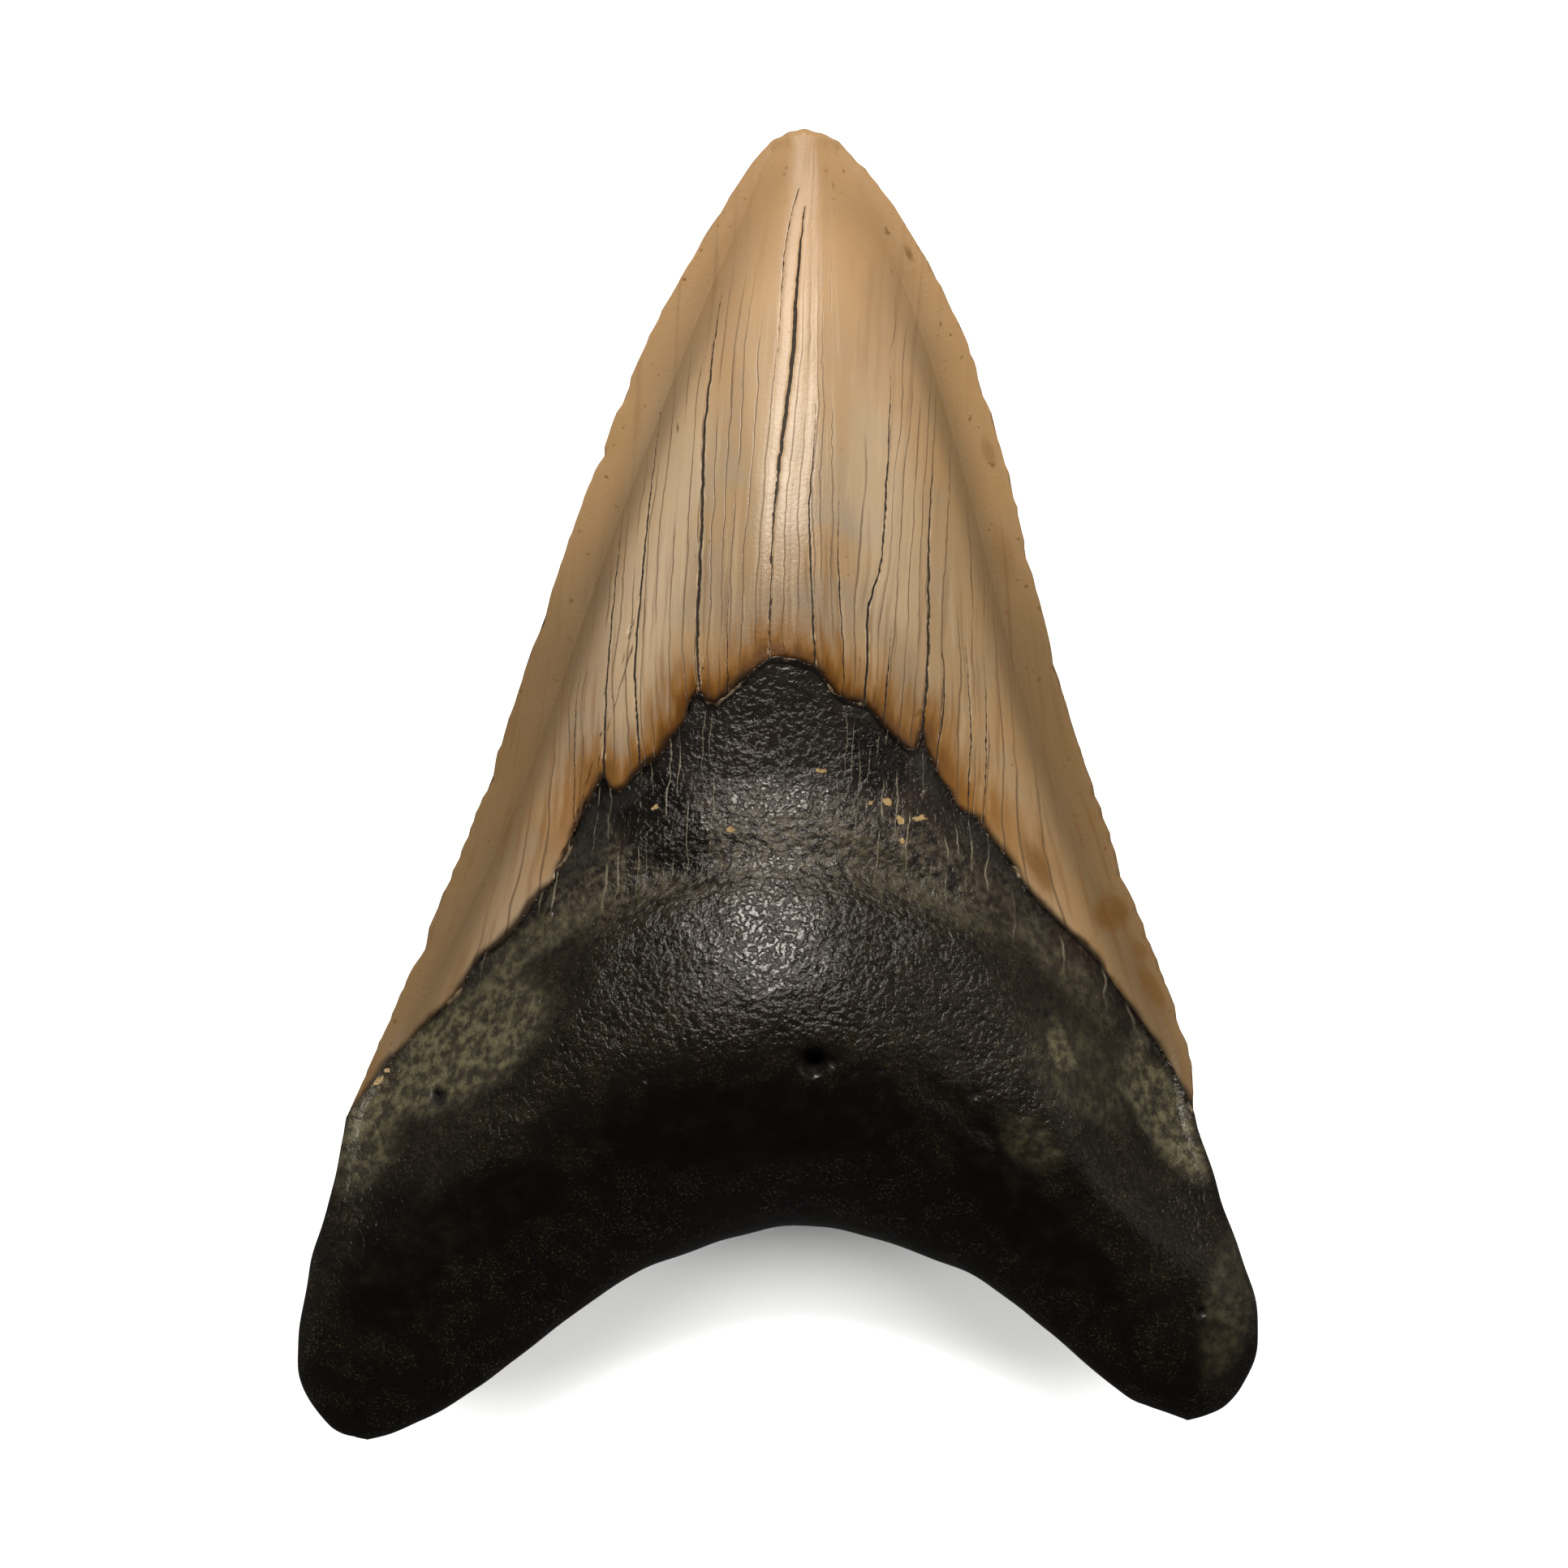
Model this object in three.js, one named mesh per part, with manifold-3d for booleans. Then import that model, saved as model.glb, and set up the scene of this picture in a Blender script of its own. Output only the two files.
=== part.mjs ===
// A fossil megalodon tooth, lying on its flatter lip side with the tongue side up.
// It is one piece: the root and the enamel crown grew together and were buried together.
// Millimetres. +X runs to the right across the tooth, +Y from the root to the tip, +Z up.
// The origin is on the resting plane, under the middle of the tooth's outline box.

import * as THREE from 'three';
import { ParametricGeometry } from 'three/addons/geometries/ParametricGeometry.js';
import { ImprovedNoise } from 'three/addons/math/ImprovedNoise.js';
import { mergeGeometries, mergeVertices } from 'three/addons/utils/BufferGeometryUtils.js';
import Module from 'manifold-3d';

// Outline of the tooth seen from above, each stretch from its first to its last point

const LEFT_CORNER = [-39.7, -30.7];
const RIGHT_CORNER = [38.1, -30.0];
const LEFT_SHOULDER_OF_TIP = [-1.0, 58.6];
const RIGHT_SHOULDER_OF_TIP = [5.8, 58.6];
const LEFT_LOBE_END = [-37.7, -60.3];
const RIGHT_LOBE_END = [37.5, -58.5];

const LEFT_CROWN_EDGE = [
  LEFT_CORNER, [-34.2, -18.0], [-28.0, -3.1], [-22.9, 11.9],
  [-17.8, 26.8], [-11.7, 41.8], [-4.1, 54.8], LEFT_SHOULDER_OF_TIP,
];
const RIGHT_CROWN_EDGE = [
  RIGHT_CORNER, [37.3, -23.6], [33.2, -12.4], [27.3, 4.4],
  [23.8, 17.5], [20.4, 30.6], [16.7, 41.8], [10.7, 53.0], RIGHT_SHOULDER_OF_TIP,
];
const TIP = [LEFT_SHOULDER_OF_TIP, [0.4, 59.8], [2.2, 60.3], [4.2, 59.8], RIGHT_SHOULDER_OF_TIP];
const LEFT_ROOT_SIDE = [
  LEFT_LOBE_END, [-41.0, -59.1], [-43.6, -55.4], [-44.1, -51.6], [-42.8, -44.1], [-40.8, -36.7], LEFT_CORNER,
];
const RIGHT_ROOT_SIDE = [
  RIGHT_LOBE_END, [40.9, -57.2], [43.4, -53.5], [43.9, -49.7], [43.2, -45.5], [40.6, -38.5], RIGHT_CORNER,
];
const ROOT_ARCH = [
  LEFT_LOBE_END, [-33.8, -59.1], [-27.5, -55.4], [-17.6, -47.9], [-11.0, -44.1], [1.9, -40.6],
  [15.4, -44.1], [21.7, -47.9], [30.7, -55.4], [34.0, -57.2], RIGHT_LOBE_END,
];

// Lower margin of the enamel: a chevron on the tongue side, a shallow arc on the lip side

const CHEVRON = [
  LEFT_CORNER, [-36.7, -26.9], [-31.3, -20.7], [-26.5, -15.1], [-21.1, -9.4], [-16.3, 0.2], [-10.8, 2.4],
  [-7.6, 7.9], [-5.7, 7.2], [-1.9, 10.5], [0.2, 11.4], [3.2, 10.6], [8.1, 7.1], [11.8, 3.1],
  [17.2, -2.7], [22.2, -8.6], [29.1, -16.1], [33.5, -22.0], [37.4, -28.2], RIGHT_CORNER,
];
const LIP_SIDE_ENAMEL_LINE = [
  LEFT_CORNER, [-31.0, -24.8], [-16.0, -20.4], [0.0, -19.2], [15.5, -20.4], [30.0, -24.6], RIGHT_CORNER,
];

// Heights above the resting plane

const EDGE_HEIGHT = { at: [-61, -46, -36, -28, -10, 15, 45, 60.3], mm: [8.5, 9.5, 8.5, 6.2, 4.2, 3.6, 3.3, 3.6] };
const RIDGE_HEIGHT = { at: [-35, -8, 11, 27, 45, 54, 60.3], mm: [21.5, 20.4, 18.0, 14.2, 9.6, 7.2, 5.4] };
const ROOT_BODY_HEIGHT = 15.6;
const BULGE = { x: 1.5, y: -22.5, rise: 9.4, acrossX: 27.0, acrossY: 15.0 };
const LOBE_SWELL = { x: 31.5, y: -48.0, rise: 1.8, acrossX: 9.0, acrossY: 9.5 };
const VALLEY = { depth: 1.4, atMiddle: 0.62, risingBy: 0.8, width: 0.1, runsUp: 0.25 };
const ROOT_ROUNDING = 9.0;
const CROWN_ROUNDING = 3.2;
const CROWN_ARCH_POWER = 0.82;
const FLANGE = { width: 5.2, fold: 0.9 };
const ENAMEL_LEDGE = 0.7;
const LEDGE_LENGTH = 0.014;
const LIP_LEDGE = 0.35;
const LIP_FLANK_WIDTH = 14.0;
const LIP_LOBE_LIFT = { from: 15.0, rise: 1.9, over: 26.0 };
const RIDGE_LINE = { at: [-20, 12, 60], x: [0.5, -0.6, 2.2] };
const LUMPS = { pitch: 6.5, height: 0.42 };

// Worn scallops along both cutting edges

const SCALLOP_PITCH = { least: 1.5, most: 3.3 };
const SCALLOP_RADIUS = { least: 0.8, most: 1.5 };
const SCALLOP_CUT = { least: 0.12, most: 0.42 };
const SCALLOP_SIDES = 9;

// Long age cracks in the enamel, from their upper to their lower end

const CRACK_STEPS = 9;
const CRACK_SIDES = 4;
const CRACKS = [
  { radius: 0.34, points: [[2.5, 53.2], [2.0, 46.8], [0.7, 34.7], [-0.5, 25.3], [-0.7, 16.0], [-0.9, 11.9]] },
  { radius: 0.2, points: [[-5.0, 46.4], [-6.6, 34.3], [-7.0, 23.7], [-7.2, 14.6], [-6.9, 8.6]] },
  { radius: 0.18, points: [[-10.8, 34.6], [-11.9, 25.6], [-12.9, 14.0], [-12.6, 3.4]] },
  { radius: 0.17, points: [[-14.3, 25.5], [-15.3, 16.2], [-15.8, 1.2]] },
  { radius: 0.17, points: [[10.3, 38.2], [9.9, 26.0], [8.1, 15.6], [7.9, 8.2]] },
  { radius: 0.17, points: [[14.3, 30.2], [13.7, 18.8], [13.5, 9.1], [12.9, 3.6]] },
];

// Nutrient holes and pits of the root

const NUTRIENT_PITS = [
  { x: 3.2, y: -25.1, radius: 0.8 }, { x: 4.9, y: -25.2, radius: 0.45 }, { x: 6.9, y: -26.2, radius: 0.4 },
  { x: 9.2, y: -26.0, radius: 0.4 }, { x: 17.8, y: -28.2, radius: 0.45 }, { x: -31.0, y: -28.8, radius: 0.85 },
  { x: 24.5, y: -21.1, radius: 0.5 }, { x: 38.5, y: -48.3, radius: 0.5 },
];
const PIT_SIDES = 7;
const PIT_RINGS = 4;
const SMALL_PIT_COUNT = 18;
const SMALL_PIT_RADIUS = { least: 0.45, most: 0.85 };
const SMALL_PIT_LIFT = 0.45;
const SMALL_PIT_AREA = { left: -38, right: 38, low: -54, high: -14, margin: 2.5 };

// Mesh of the two faces

const COLUMNS = 32;
const ROOT_ROWS = 18;
const CROWN_ROWS = 26;
const ROWS = ROOT_ROWS + CROWN_ROWS;
const OUTLINE_SAMPLES = 60;
const WELD = 1e-4;
const SEED = 63;
const RAY_START = 100;

const FOSSIL_COLOUR = 0x4a423b;
const FOSSIL_ROUGHNESS = 0.55;

const { clamp, lerp, smoothstep } = THREE.MathUtils;

// Curves

function curveThrough(points) {
  return new THREE.SplineCurve(points.map(([x, y]) => new THREE.Vector2(x, y)));
}

function valuesThrough(positions, values) {
  const spline = new THREE.CubicInterpolant(Float32Array.from(positions), Float32Array.from(values), 1);
  return (at) => spline.evaluate(at)[0];
}

const leftCrownEdge = curveThrough(LEFT_CROWN_EDGE);
const rightCrownEdge = curveThrough(RIGHT_CROWN_EDGE);
const leftRootSide = curveThrough(LEFT_ROOT_SIDE);
const rightRootSide = curveThrough(RIGHT_ROOT_SIDE);
const tip = curveThrough(TIP);
const rootArch = curveThrough(ROOT_ARCH);
const chevron = curveThrough(CHEVRON);
const lipSideEnamelLine = curveThrough(LIP_SIDE_ENAMEL_LINE);

const edgeHeight = valuesThrough(EDGE_HEIGHT.at, EDGE_HEIGHT.mm);
const ridgeHeight = valuesThrough(RIDGE_HEIGHT.at, RIDGE_HEIGHT.mm);
const ridgeLine = valuesThrough(RIDGE_LINE.at, RIDGE_LINE.x);

const sampled = (curve) => curve.getSpacedPoints(OUTLINE_SAMPLES);
const leftSide = [...sampled(leftRootSide), ...sampled(leftCrownEdge)];
const rightSide = [...sampled(rightRootSide), ...sampled(rightCrownEdge)];
const outline = [...leftSide, ...sampled(tip), ...rightSide.toReversed(), ...sampled(rootArch).reverse()];

// How far a point is inside the outline
function depthInside(x, y) {
  const point = new THREE.Vector3(x, y, 0);
  const nearest = new THREE.Vector3();
  const stretch = new THREE.Line3();
  let least = Infinity;
  for (let i = 0; i < outline.length; i++) {
    const from = outline[i];
    const to = outline[(i + 1) % outline.length];
    stretch.start.set(from.x, from.y, 0);
    stretch.end.set(to.x, to.y, 0);
    if (stretch.distanceSq() === 0) continue;
    stretch.closestPointToPoint(point, true, nearest);
    least = Math.min(least, nearest.distanceTo(point));
  }
  return least;
}

// Where one side of the outline lies at a given y
function sideAt(side, y) {
  const above = side.findIndex((point) => point.y > y);
  if (above === 0) return side[0].x;
  if (above < 0) return side[side.length - 1].x;
  const low = side[above - 1];
  const high = side[above];
  return lerp(low.x, high.x, (y - low.y) / (high.y - low.y));
}

// A quarter round: 0 on the outline, 1 from one radius inwards
function roundedRise(depth, radius) {
  const short = 1 - clamp(depth / radius, 0, 1);
  return Math.sqrt(1 - short * short);
}

function hump(x, y, { x: middleX, y: middleY, rise, acrossX, acrossY }) {
  return rise * Math.exp(-(((x - middleX) / acrossX) ** 2) - (((y - middleY) / acrossY) ** 2));
}

const noise = new ImprovedNoise();

function lumps(x, y) {
  return LUMPS.height * noise.noise(x / LUMPS.pitch, y / LUMPS.pitch, 0.5);
}

// Heights of the tongue side

function crownHeight(x, y, depth) {
  const middle = ridgeLine(y);
  const half = x < middle ? middle - sideAt(leftSide, y) : sideAt(rightSide, y) - middle;
  const across = clamp((x - middle) / half, -1, 1);
  const arch = (1 - across * across) ** CROWN_ARCH_POWER;
  const edge = edgeHeight(y);
  const fold = FLANGE.fold * Math.exp(-(((depth - FLANGE.width) / 2) ** 2)) * clamp(half / 12 - 0.4, 0, 1);
  return edge + (ridgeHeight(y) - edge) * arch * roundedRise(depth, CROWN_ROUNDING) - fold;
}

function rootHeight(x, y, depth) {
  const lobes = hump(Math.abs(x), y, LOBE_SWELL);
  const body = ROOT_BODY_HEIGHT + hump(x, y, BULGE) + lobes + lumps(x, y);
  const edge = edgeHeight(y);
  return edge + (body - edge) * roundedRise(depth, ROOT_ROUNDING);
}

function tongueSideHeight(x, y, depth, across, inRoot) {
  if (inRoot === null) return crownHeight(x, y, depth);
  const outwards = (2 * across - 1) ** 2;
  const valleyAt = VALLEY.atMiddle + VALLEY.risingBy * outwards;
  const nearCrown = smoothstep(inRoot, valleyAt - VALLEY.width, valleyAt + VALLEY.runsUp);
  const nearValley = Math.exp(-(((inRoot - valleyAt) / VALLEY.width) ** 2));
  const valley = VALLEY.depth * nearValley * smoothstep(depth, 2, 14);
  const dentine = crownHeight(x, y, depth) - ENAMEL_LEDGE * smoothstep(depth, 0.4, 4);
  const atChevron = smoothstep(inRoot, lerp(0.8, 0.35, outwards), 1);
  return lerp(rootHeight(x, y, depth), dentine, Math.max(nearCrown, atChevron)) - valley * (1 - atChevron);
}

// Heights of the lip side, which is flat in its middle and rests there

function lipSideHeight(x, y, depth, across, inRoot) {
  const edge = edgeHeight(y);
  const crownFlank = (1 - clamp(depth / LIP_FLANK_WIDTH, 0, 1)) ** 2;
  if (inRoot === null) return edge * crownFlank;
  const rootFlank = 1 - roundedRise(depth, ROOT_ROUNDING);
  const flank = lerp(rootFlank, crownFlank, smoothstep(inRoot, 0.55, 1));
  const lobe = smoothstep(Math.abs(x), LIP_LOBE_LIFT.from, LIP_LOBE_LIFT.from + LIP_LOBE_LIFT.over);
  const ledge = LIP_LEDGE * smoothstep(inRoot, 0.9, 1) * smoothstep(depth, 1, 5);
  const clearOfEdge = 1 - flank;
  return edge * flank + (LIP_LOBE_LIFT.rise * lobe + ledge) * clearOfEdge;
}

// A surface stretched between four edge curves, blended from its opposite sides
function stretched(low, high, left, right, u, v) {
  const a = low.getPointAt(u).multiplyScalar(1 - v);
  const b = high.getPointAt(u).multiplyScalar(v);
  const c = left.getPointAt(v).multiplyScalar(1 - u);
  const d = right.getPointAt(v).multiplyScalar(u);
  const corners = low.getPointAt(0).multiplyScalar((1 - u) * (1 - v));
  corners.add(low.getPointAt(1).multiplyScalar(u * (1 - v)));
  corners.add(high.getPointAt(0).multiplyScalar((1 - u) * v));
  corners.add(high.getPointAt(1).multiplyScalar(u * v));
  return a.add(b).add(c).add(d).sub(corners);
}

// One face of the tooth: the root zone's rows, a narrow ledge, then the crown zone's rows
function faceOfTooth(enamelLine, heightAt, mirrored) {
  const place = (u, v, target) => {
    const acrossEven = mirrored ? 1 - u : u;
    const across = lerp(acrossEven, (1 - Math.cos(Math.PI * acrossEven)) / 2, 0.5);
    const row = Math.round(v * ROWS);
    const inRoot = row <= ROOT_ROWS ? (row / ROOT_ROWS) * (1 - LEDGE_LENGTH) : null;
    let spot;
    if (inRoot !== null) {
      spot = stretched(rootArch, enamelLine, leftRootSide, rightRootSide, across, inRoot);
    } else {
      const inCrown = (row - ROOT_ROWS - 1) / (CROWN_ROWS - 1);
      spot = stretched(enamelLine, tip, leftCrownEdge, rightCrownEdge, across, inCrown);
    }
    const onSide = across === 0 || across === 1;
    const depth = onSide || row === 0 || row === ROWS ? 0 : depthInside(spot.x, spot.y);
    const height = depth === 0 ? edgeHeight(spot.y) : heightAt(spot.x, spot.y, depth, across, inRoot);
    target.set(spot.x, spot.y, height);
  };
  return new ParametricGeometry(place, COLUMNS, ROWS);
}

// Solids

const wasm = await Module();
wasm.setup();

function toSolid(geometry) {
  const bare = geometry.clone();
  bare.deleteAttribute('normal');
  bare.deleteAttribute('uv');
  const welded = mergeVertices(bare, WELD);
  return new wasm.Manifold(new wasm.Mesh({
    numProp: 3,
    vertProperties: new Float32Array(welded.attributes.position.array),
    triVerts: new Uint32Array(welded.index.array),
  }));
}

function toGeometry(solid) {
  const mesh = solid.getMesh();
  const geometry = new THREE.BufferGeometry();
  geometry.setAttribute('position', new THREE.BufferAttribute(mesh.vertProperties, 3));
  geometry.setIndex(new THREE.BufferAttribute(mesh.triVerts, 1));
  geometry.computeVertexNormals();
  return geometry;
}

// Repeatable random numbers from 0 to 1
function makeRandom(seed) {
  let state = seed;
  return () => {
    state = (state * 1664525 + 1013904223) % 4294967296;
    return state / 4294967296;
  };
}

const tongueSide = faceOfTooth(chevron, tongueSideHeight, false);
const lipSide = faceOfTooth(lipSideEnamelLine, lipSideHeight, true);
const tongueSideMesh = new THREE.Mesh(tongueSide);

// Height of the tongue side straight above a point of the resting plane, or null beside the tooth
function surfaceAbove(x, y) {
  const ray = new THREE.Raycaster(new THREE.Vector3(x, y, RAY_START), new THREE.Vector3(0, 0, -1));
  const [hit] = ray.intersectObject(tongueSideMesh);
  return hit ? hit.point.z : null;
}

function scallopCutters(edge, random) {
  const cutters = [];
  const length = edge.getLength();
  let along = SCALLOP_PITCH.most;
  while (along < length - SCALLOP_PITCH.most) {
    const at = edge.getPointAt(along / length);
    const tangent = edge.getTangentAt(along / length);
    const outwards = new THREE.Vector2(tangent.y, -tangent.x).multiplyScalar(edge === leftCrownEdge ? -1 : 1);
    const radius = lerp(SCALLOP_RADIUS.least, SCALLOP_RADIUS.most, random());
    const cut = lerp(SCALLOP_CUT.least, SCALLOP_CUT.most, random() ** 2);
    const centre = at.add(outwards.multiplyScalar(radius - cut));
    const height = 2.2 * edgeHeight(centre.y);
    const cutter = new THREE.CylinderGeometry(radius, radius, height, SCALLOP_SIDES);
    cutter.rotateX(Math.PI / 2);
    cutter.translate(centre.x, centre.y, height / 2);
    cutters.push(toSolid(cutter));
    along += lerp(SCALLOP_PITCH.least, SCALLOP_PITCH.most, random());
  }
  return cutters;
}

function crackCutter({ radius, points }) {
  const onSurface = points.map(([x, y]) => new THREE.Vector3(x, y, surfaceAbove(x, y)));
  const flatRoute = new THREE.CatmullRomCurve3(onSurface);
  const steps = flatRoute.getSpacedPoints(CRACK_STEPS);
  const route = new THREE.CatmullRomCurve3(
    steps.map(({ x, y }) => new THREE.Vector3(x, y, surfaceAbove(x, y))),
  );
  const section = new THREE.Shape().absarc(0, 0, radius, 0, Math.PI * 2);
  return toSolid(new THREE.ExtrudeGeometry(section, {
    extrudePath: route,
    steps: CRACK_STEPS,
    curveSegments: CRACK_SIDES / 2,
  }));
}

function pitCutter({ x, y, radius }) {
  const pit = new THREE.SphereGeometry(radius, PIT_SIDES, PIT_RINGS);
  pit.translate(x, y, surfaceAbove(x, y));
  return toSolid(pit);
}

function smallPitCutters(random) {
  const cutters = [];
  while (cutters.length < SMALL_PIT_COUNT) {
    const x = lerp(SMALL_PIT_AREA.left, SMALL_PIT_AREA.right, random());
    const y = lerp(SMALL_PIT_AREA.low, SMALL_PIT_AREA.high, random());
    const radius = lerp(SMALL_PIT_RADIUS.least, SMALL_PIT_RADIUS.most, random());
    const surface = surfaceAbove(x, y);
    if (surface === null || depthInside(x, y) < SMALL_PIT_AREA.margin) continue;
    const pit = new THREE.IcosahedronGeometry(radius, 0);
    pit.translate(x, y, surface + radius * SMALL_PIT_LIFT);
    cutters.push(toSolid(pit));
  }
  return cutters;
}

function makeTooth() {
  const random = makeRandom(SEED);
  let solid = toSolid(mergeGeometries([tongueSide, lipSide]));
  const cutters = [
    ...scallopCutters(leftCrownEdge, random),
    ...scallopCutters(rightCrownEdge, random),
    ...CRACKS.map(crackCutter),
    ...NUTRIENT_PITS.map(pitCutter),
    ...smallPitCutters(random),
  ];
  for (const cutter of cutters) solid = solid.subtract(cutter);
  const geometry = toGeometry(solid);
  geometry.computeBoundingBox();
  const middle = geometry.boundingBox.getCenter(new THREE.Vector3());
  return geometry.translate(-middle.x, -middle.y, 0);
}

const tooth = new THREE.Mesh(
  makeTooth(),
  new THREE.MeshStandardMaterial({ color: FOSSIL_COLOUR, roughness: FOSSIL_ROUGHNESS, metalness: 0 }),
);
tooth.name = 'tooth';

const group = new THREE.Group();
group.add(tooth);

export default group;
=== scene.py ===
"""A fossil megalodon tooth lying on a plain pale floor, seen from straight above.

The tooth is drawn in millimetres, with +X to the right, +Y towards the tip and +Z up from the
face that it lies on. Its mesh is in metres, centred in the box that the frame gives it.
"""

import logging
import math
from dataclasses import dataclass
from enum import Enum

import bmesh
import bpy
import numpy as np
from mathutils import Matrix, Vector
from mathutils.kdtree import KDTree


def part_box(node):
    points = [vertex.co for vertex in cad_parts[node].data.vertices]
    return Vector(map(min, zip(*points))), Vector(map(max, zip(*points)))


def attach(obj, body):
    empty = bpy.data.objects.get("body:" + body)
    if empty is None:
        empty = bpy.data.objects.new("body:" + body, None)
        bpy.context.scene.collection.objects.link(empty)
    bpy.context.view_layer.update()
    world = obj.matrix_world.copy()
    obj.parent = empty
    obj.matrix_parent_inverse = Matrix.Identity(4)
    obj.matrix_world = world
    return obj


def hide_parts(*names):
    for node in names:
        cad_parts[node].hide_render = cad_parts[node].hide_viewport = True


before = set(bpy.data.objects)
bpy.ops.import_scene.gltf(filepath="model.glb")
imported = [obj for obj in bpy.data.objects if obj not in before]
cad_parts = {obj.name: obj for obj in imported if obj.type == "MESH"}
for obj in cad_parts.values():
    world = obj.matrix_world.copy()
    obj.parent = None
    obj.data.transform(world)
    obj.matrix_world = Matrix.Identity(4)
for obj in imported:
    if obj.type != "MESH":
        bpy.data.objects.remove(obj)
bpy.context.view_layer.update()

MM = 0.001
NODE = "tooth"
BODY = "root"

log = logging.getLogger("tooth")

Array = np.ndarray
Points = tuple[tuple[float, float], ...]
Socket = bpy.types.NodeSocket
Outputs = bpy.types.NodeOutputs
Tree = bpy.types.NodeTree


class Face(Enum):
    """The two faces of a tooth: the one that shows, and the one that it lies on."""

    TONGUE = "tongue side"
    LIP = "lip side"


class Mark(Enum):
    """What the mesh notes on each of its points, for the finishes. Lengths are in millimetres.

    BLOTCH to HOLE are drawn; PALE and OLIVE also carry painted sheen, and HOLE painted shade. MIDDLE
    is the nearness to the tooth's middle, the fold mark the nearness to the crease between flange and
    ridge, along which shade is painted, and ABOVE the distance above the root's valley. HALF_CRACK is
    half the nearest crack's width. STRAIGHT, COUNT and GAP are a flow's own, and ALONG is y. MARGIN is
    the distance from the enamel's edge, below 0 on the root, and RIM that from the outline.
    """

    BLOTCH = "blotch"
    PALE = "pale"
    OLIVE = "olive"
    BLACK = "black"
    OCHRE = "ochre"
    CHIP = "chip"
    HOLE = "hole"
    MIDDLE = "middle"
    FOLD_SHADE = "fold"
    ABOVE = "above"
    HALF_CRACK = "half_crack"
    STRAIGHT = "straight"
    COUNT = "count"
    GAP = "gap"
    ALONG = "along"
    MARGIN = "margin"
    RIM = "rim"


# Measuring


def smoothstep(value: Array, low: float, high: float) -> Array:
    """Rise smoothly from 0 at low to 1 at high, or fall where low is the higher one."""
    t = np.clip((value - low) / (high - low), 0, 1)
    return t * t * (3 - 2 * t)


def bell(value: Array, middle: Array | float, reach: float) -> Array:
    """Give 1 at the middle, falling smoothly to about a third one reach away on both sides."""
    return np.exp(-(((value - middle) / reach) ** 2))


def rounded_rise(depth: Array, radius: float) -> Array:
    """Follow a quarter round inwards, from 0 on the outline to 1 from one radius inside it."""
    short = 1 - np.clip(depth / radius, 0, 1)
    return np.sqrt(1 - short * short)


def walked_to(line: Array, share: Array) -> Array:
    """Find points by their share of a traced line's length.

    Args:
        line: The line's rows of x and y.
        share: Numbers from 0 to 1.

    Returns:
        Rows of x and y.
    """
    walked = np.concatenate([[0], np.cumsum(np.hypot(*np.diff(line, axis=0).T))])
    along = share * walked[-1]
    return np.stack([np.interp(along, walked, line[:, i]) for i in (0, 1)], axis=-1)


def nearest_on(line: Array, place: Array) -> tuple[Array, Array]:
    """Find the nearest point of a traced line.

    Args:
        line: The line's rows of x and y.
        place: Rows of x and y.

    Returns:
        The nearest point's row, and the distance to it.
    """
    tree = KDTree(len(line))
    for i, (x, y) in enumerate(line):
        tree.insert((x, y, 0), i)
    tree.balance()
    rows, distances = zip(*[tree.find((x, y, 0))[1:] for x, y in place])
    return np.array(rows), np.array(distances)


@dataclass(frozen=True)
class Curve:
    """A smooth line through a few points of the drawing."""

    points: Points
    steps: int = 24

    def traced(self) -> Array:
        """Trace the line closely, in some steps between each two points.

        Returns:
            Rows of x and y.
        """
        given = np.array(self.points)
        start, end = given[:-1], given[1:]
        before = np.vstack([given[:1], given[:-2]])
        after = np.vstack([given[2:], given[-1:]])
        leave, arrive = (end - before) / 2, (after - start) / 2
        t = np.linspace(0, 1, self.steps, endpoint=False)[:, None, None]
        cube = 2 * start - 2 * end + leave + arrive
        square = 3 * end - 3 * start - 2 * leave - arrive
        line = cube * t**3 + square * t**2 + leave * t + start
        return np.vstack([line.swapaxes(0, 1).reshape(-1, 2), given[-1:]])

    def at(self, share: Array) -> Array:
        """Find points by their share of the line's length."""
        return walked_to(self.traced(), share)


@dataclass(frozen=True)
class Profile:
    """A height that changes smoothly between a few stations along the tooth."""

    at: tuple[float, ...]
    mm: tuple[float, ...]

    def read(self, y: Array) -> Array:
        """Read the profile.

        Args:
            y: Places along the tooth.

        Returns:
            The value at each place.
        """
        at, mm = np.array(self.at), np.array(self.mm)
        slope = np.gradient(mm, at)
        i = np.clip(np.searchsorted(at, y) - 1, 0, len(at) - 2)
        gap = at[i + 1] - at[i]
        t = np.clip((y - at[i]) / gap, 0, 1)
        swing = gap * (t * (1 - t) ** 2 * slope[i] - t * t * (1 - t) * slope[i + 1])
        return mm[i] + (mm[i + 1] - mm[i]) * smoothstep(t, 0, 1) + swing


@dataclass(frozen=True)
class Noise:
    """Repeatable smooth noise, its lumps a pitch apart and up to about the height up or down."""

    seed: int
    pitch: float
    height: float = 1.0
    size: int = 128

    def read(self, x: Array, y: Array) -> Array:
        """Read the noise.

        Args:
            x: Places across.
            y: Places along.

        Returns:
            The noise at each place.
        """
        turns = np.random.default_rng(self.seed).uniform(0, 2 * math.pi, (self.size, self.size))
        u, v = x / self.pitch, y / self.pitch
        column, row = np.floor(u).astype(int), np.floor(v).astype(int)
        total = np.zeros_like(u)
        for right in (0, 1):
            for up in (0, 1):
                angle = turns[(row + up) % self.size, (column + right) % self.size]
                across, along = u - column - right, v - row - up
                weight = smoothstep(1 - np.abs(across), 0, 1) * smoothstep(1 - np.abs(along), 0, 1)
                total += (np.cos(angle) * across + np.sin(angle) * along) * weight
        # The sum alone stays within about 0.6
        return self.height * (1.6 * total)


# Outlines, in millimetres

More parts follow.
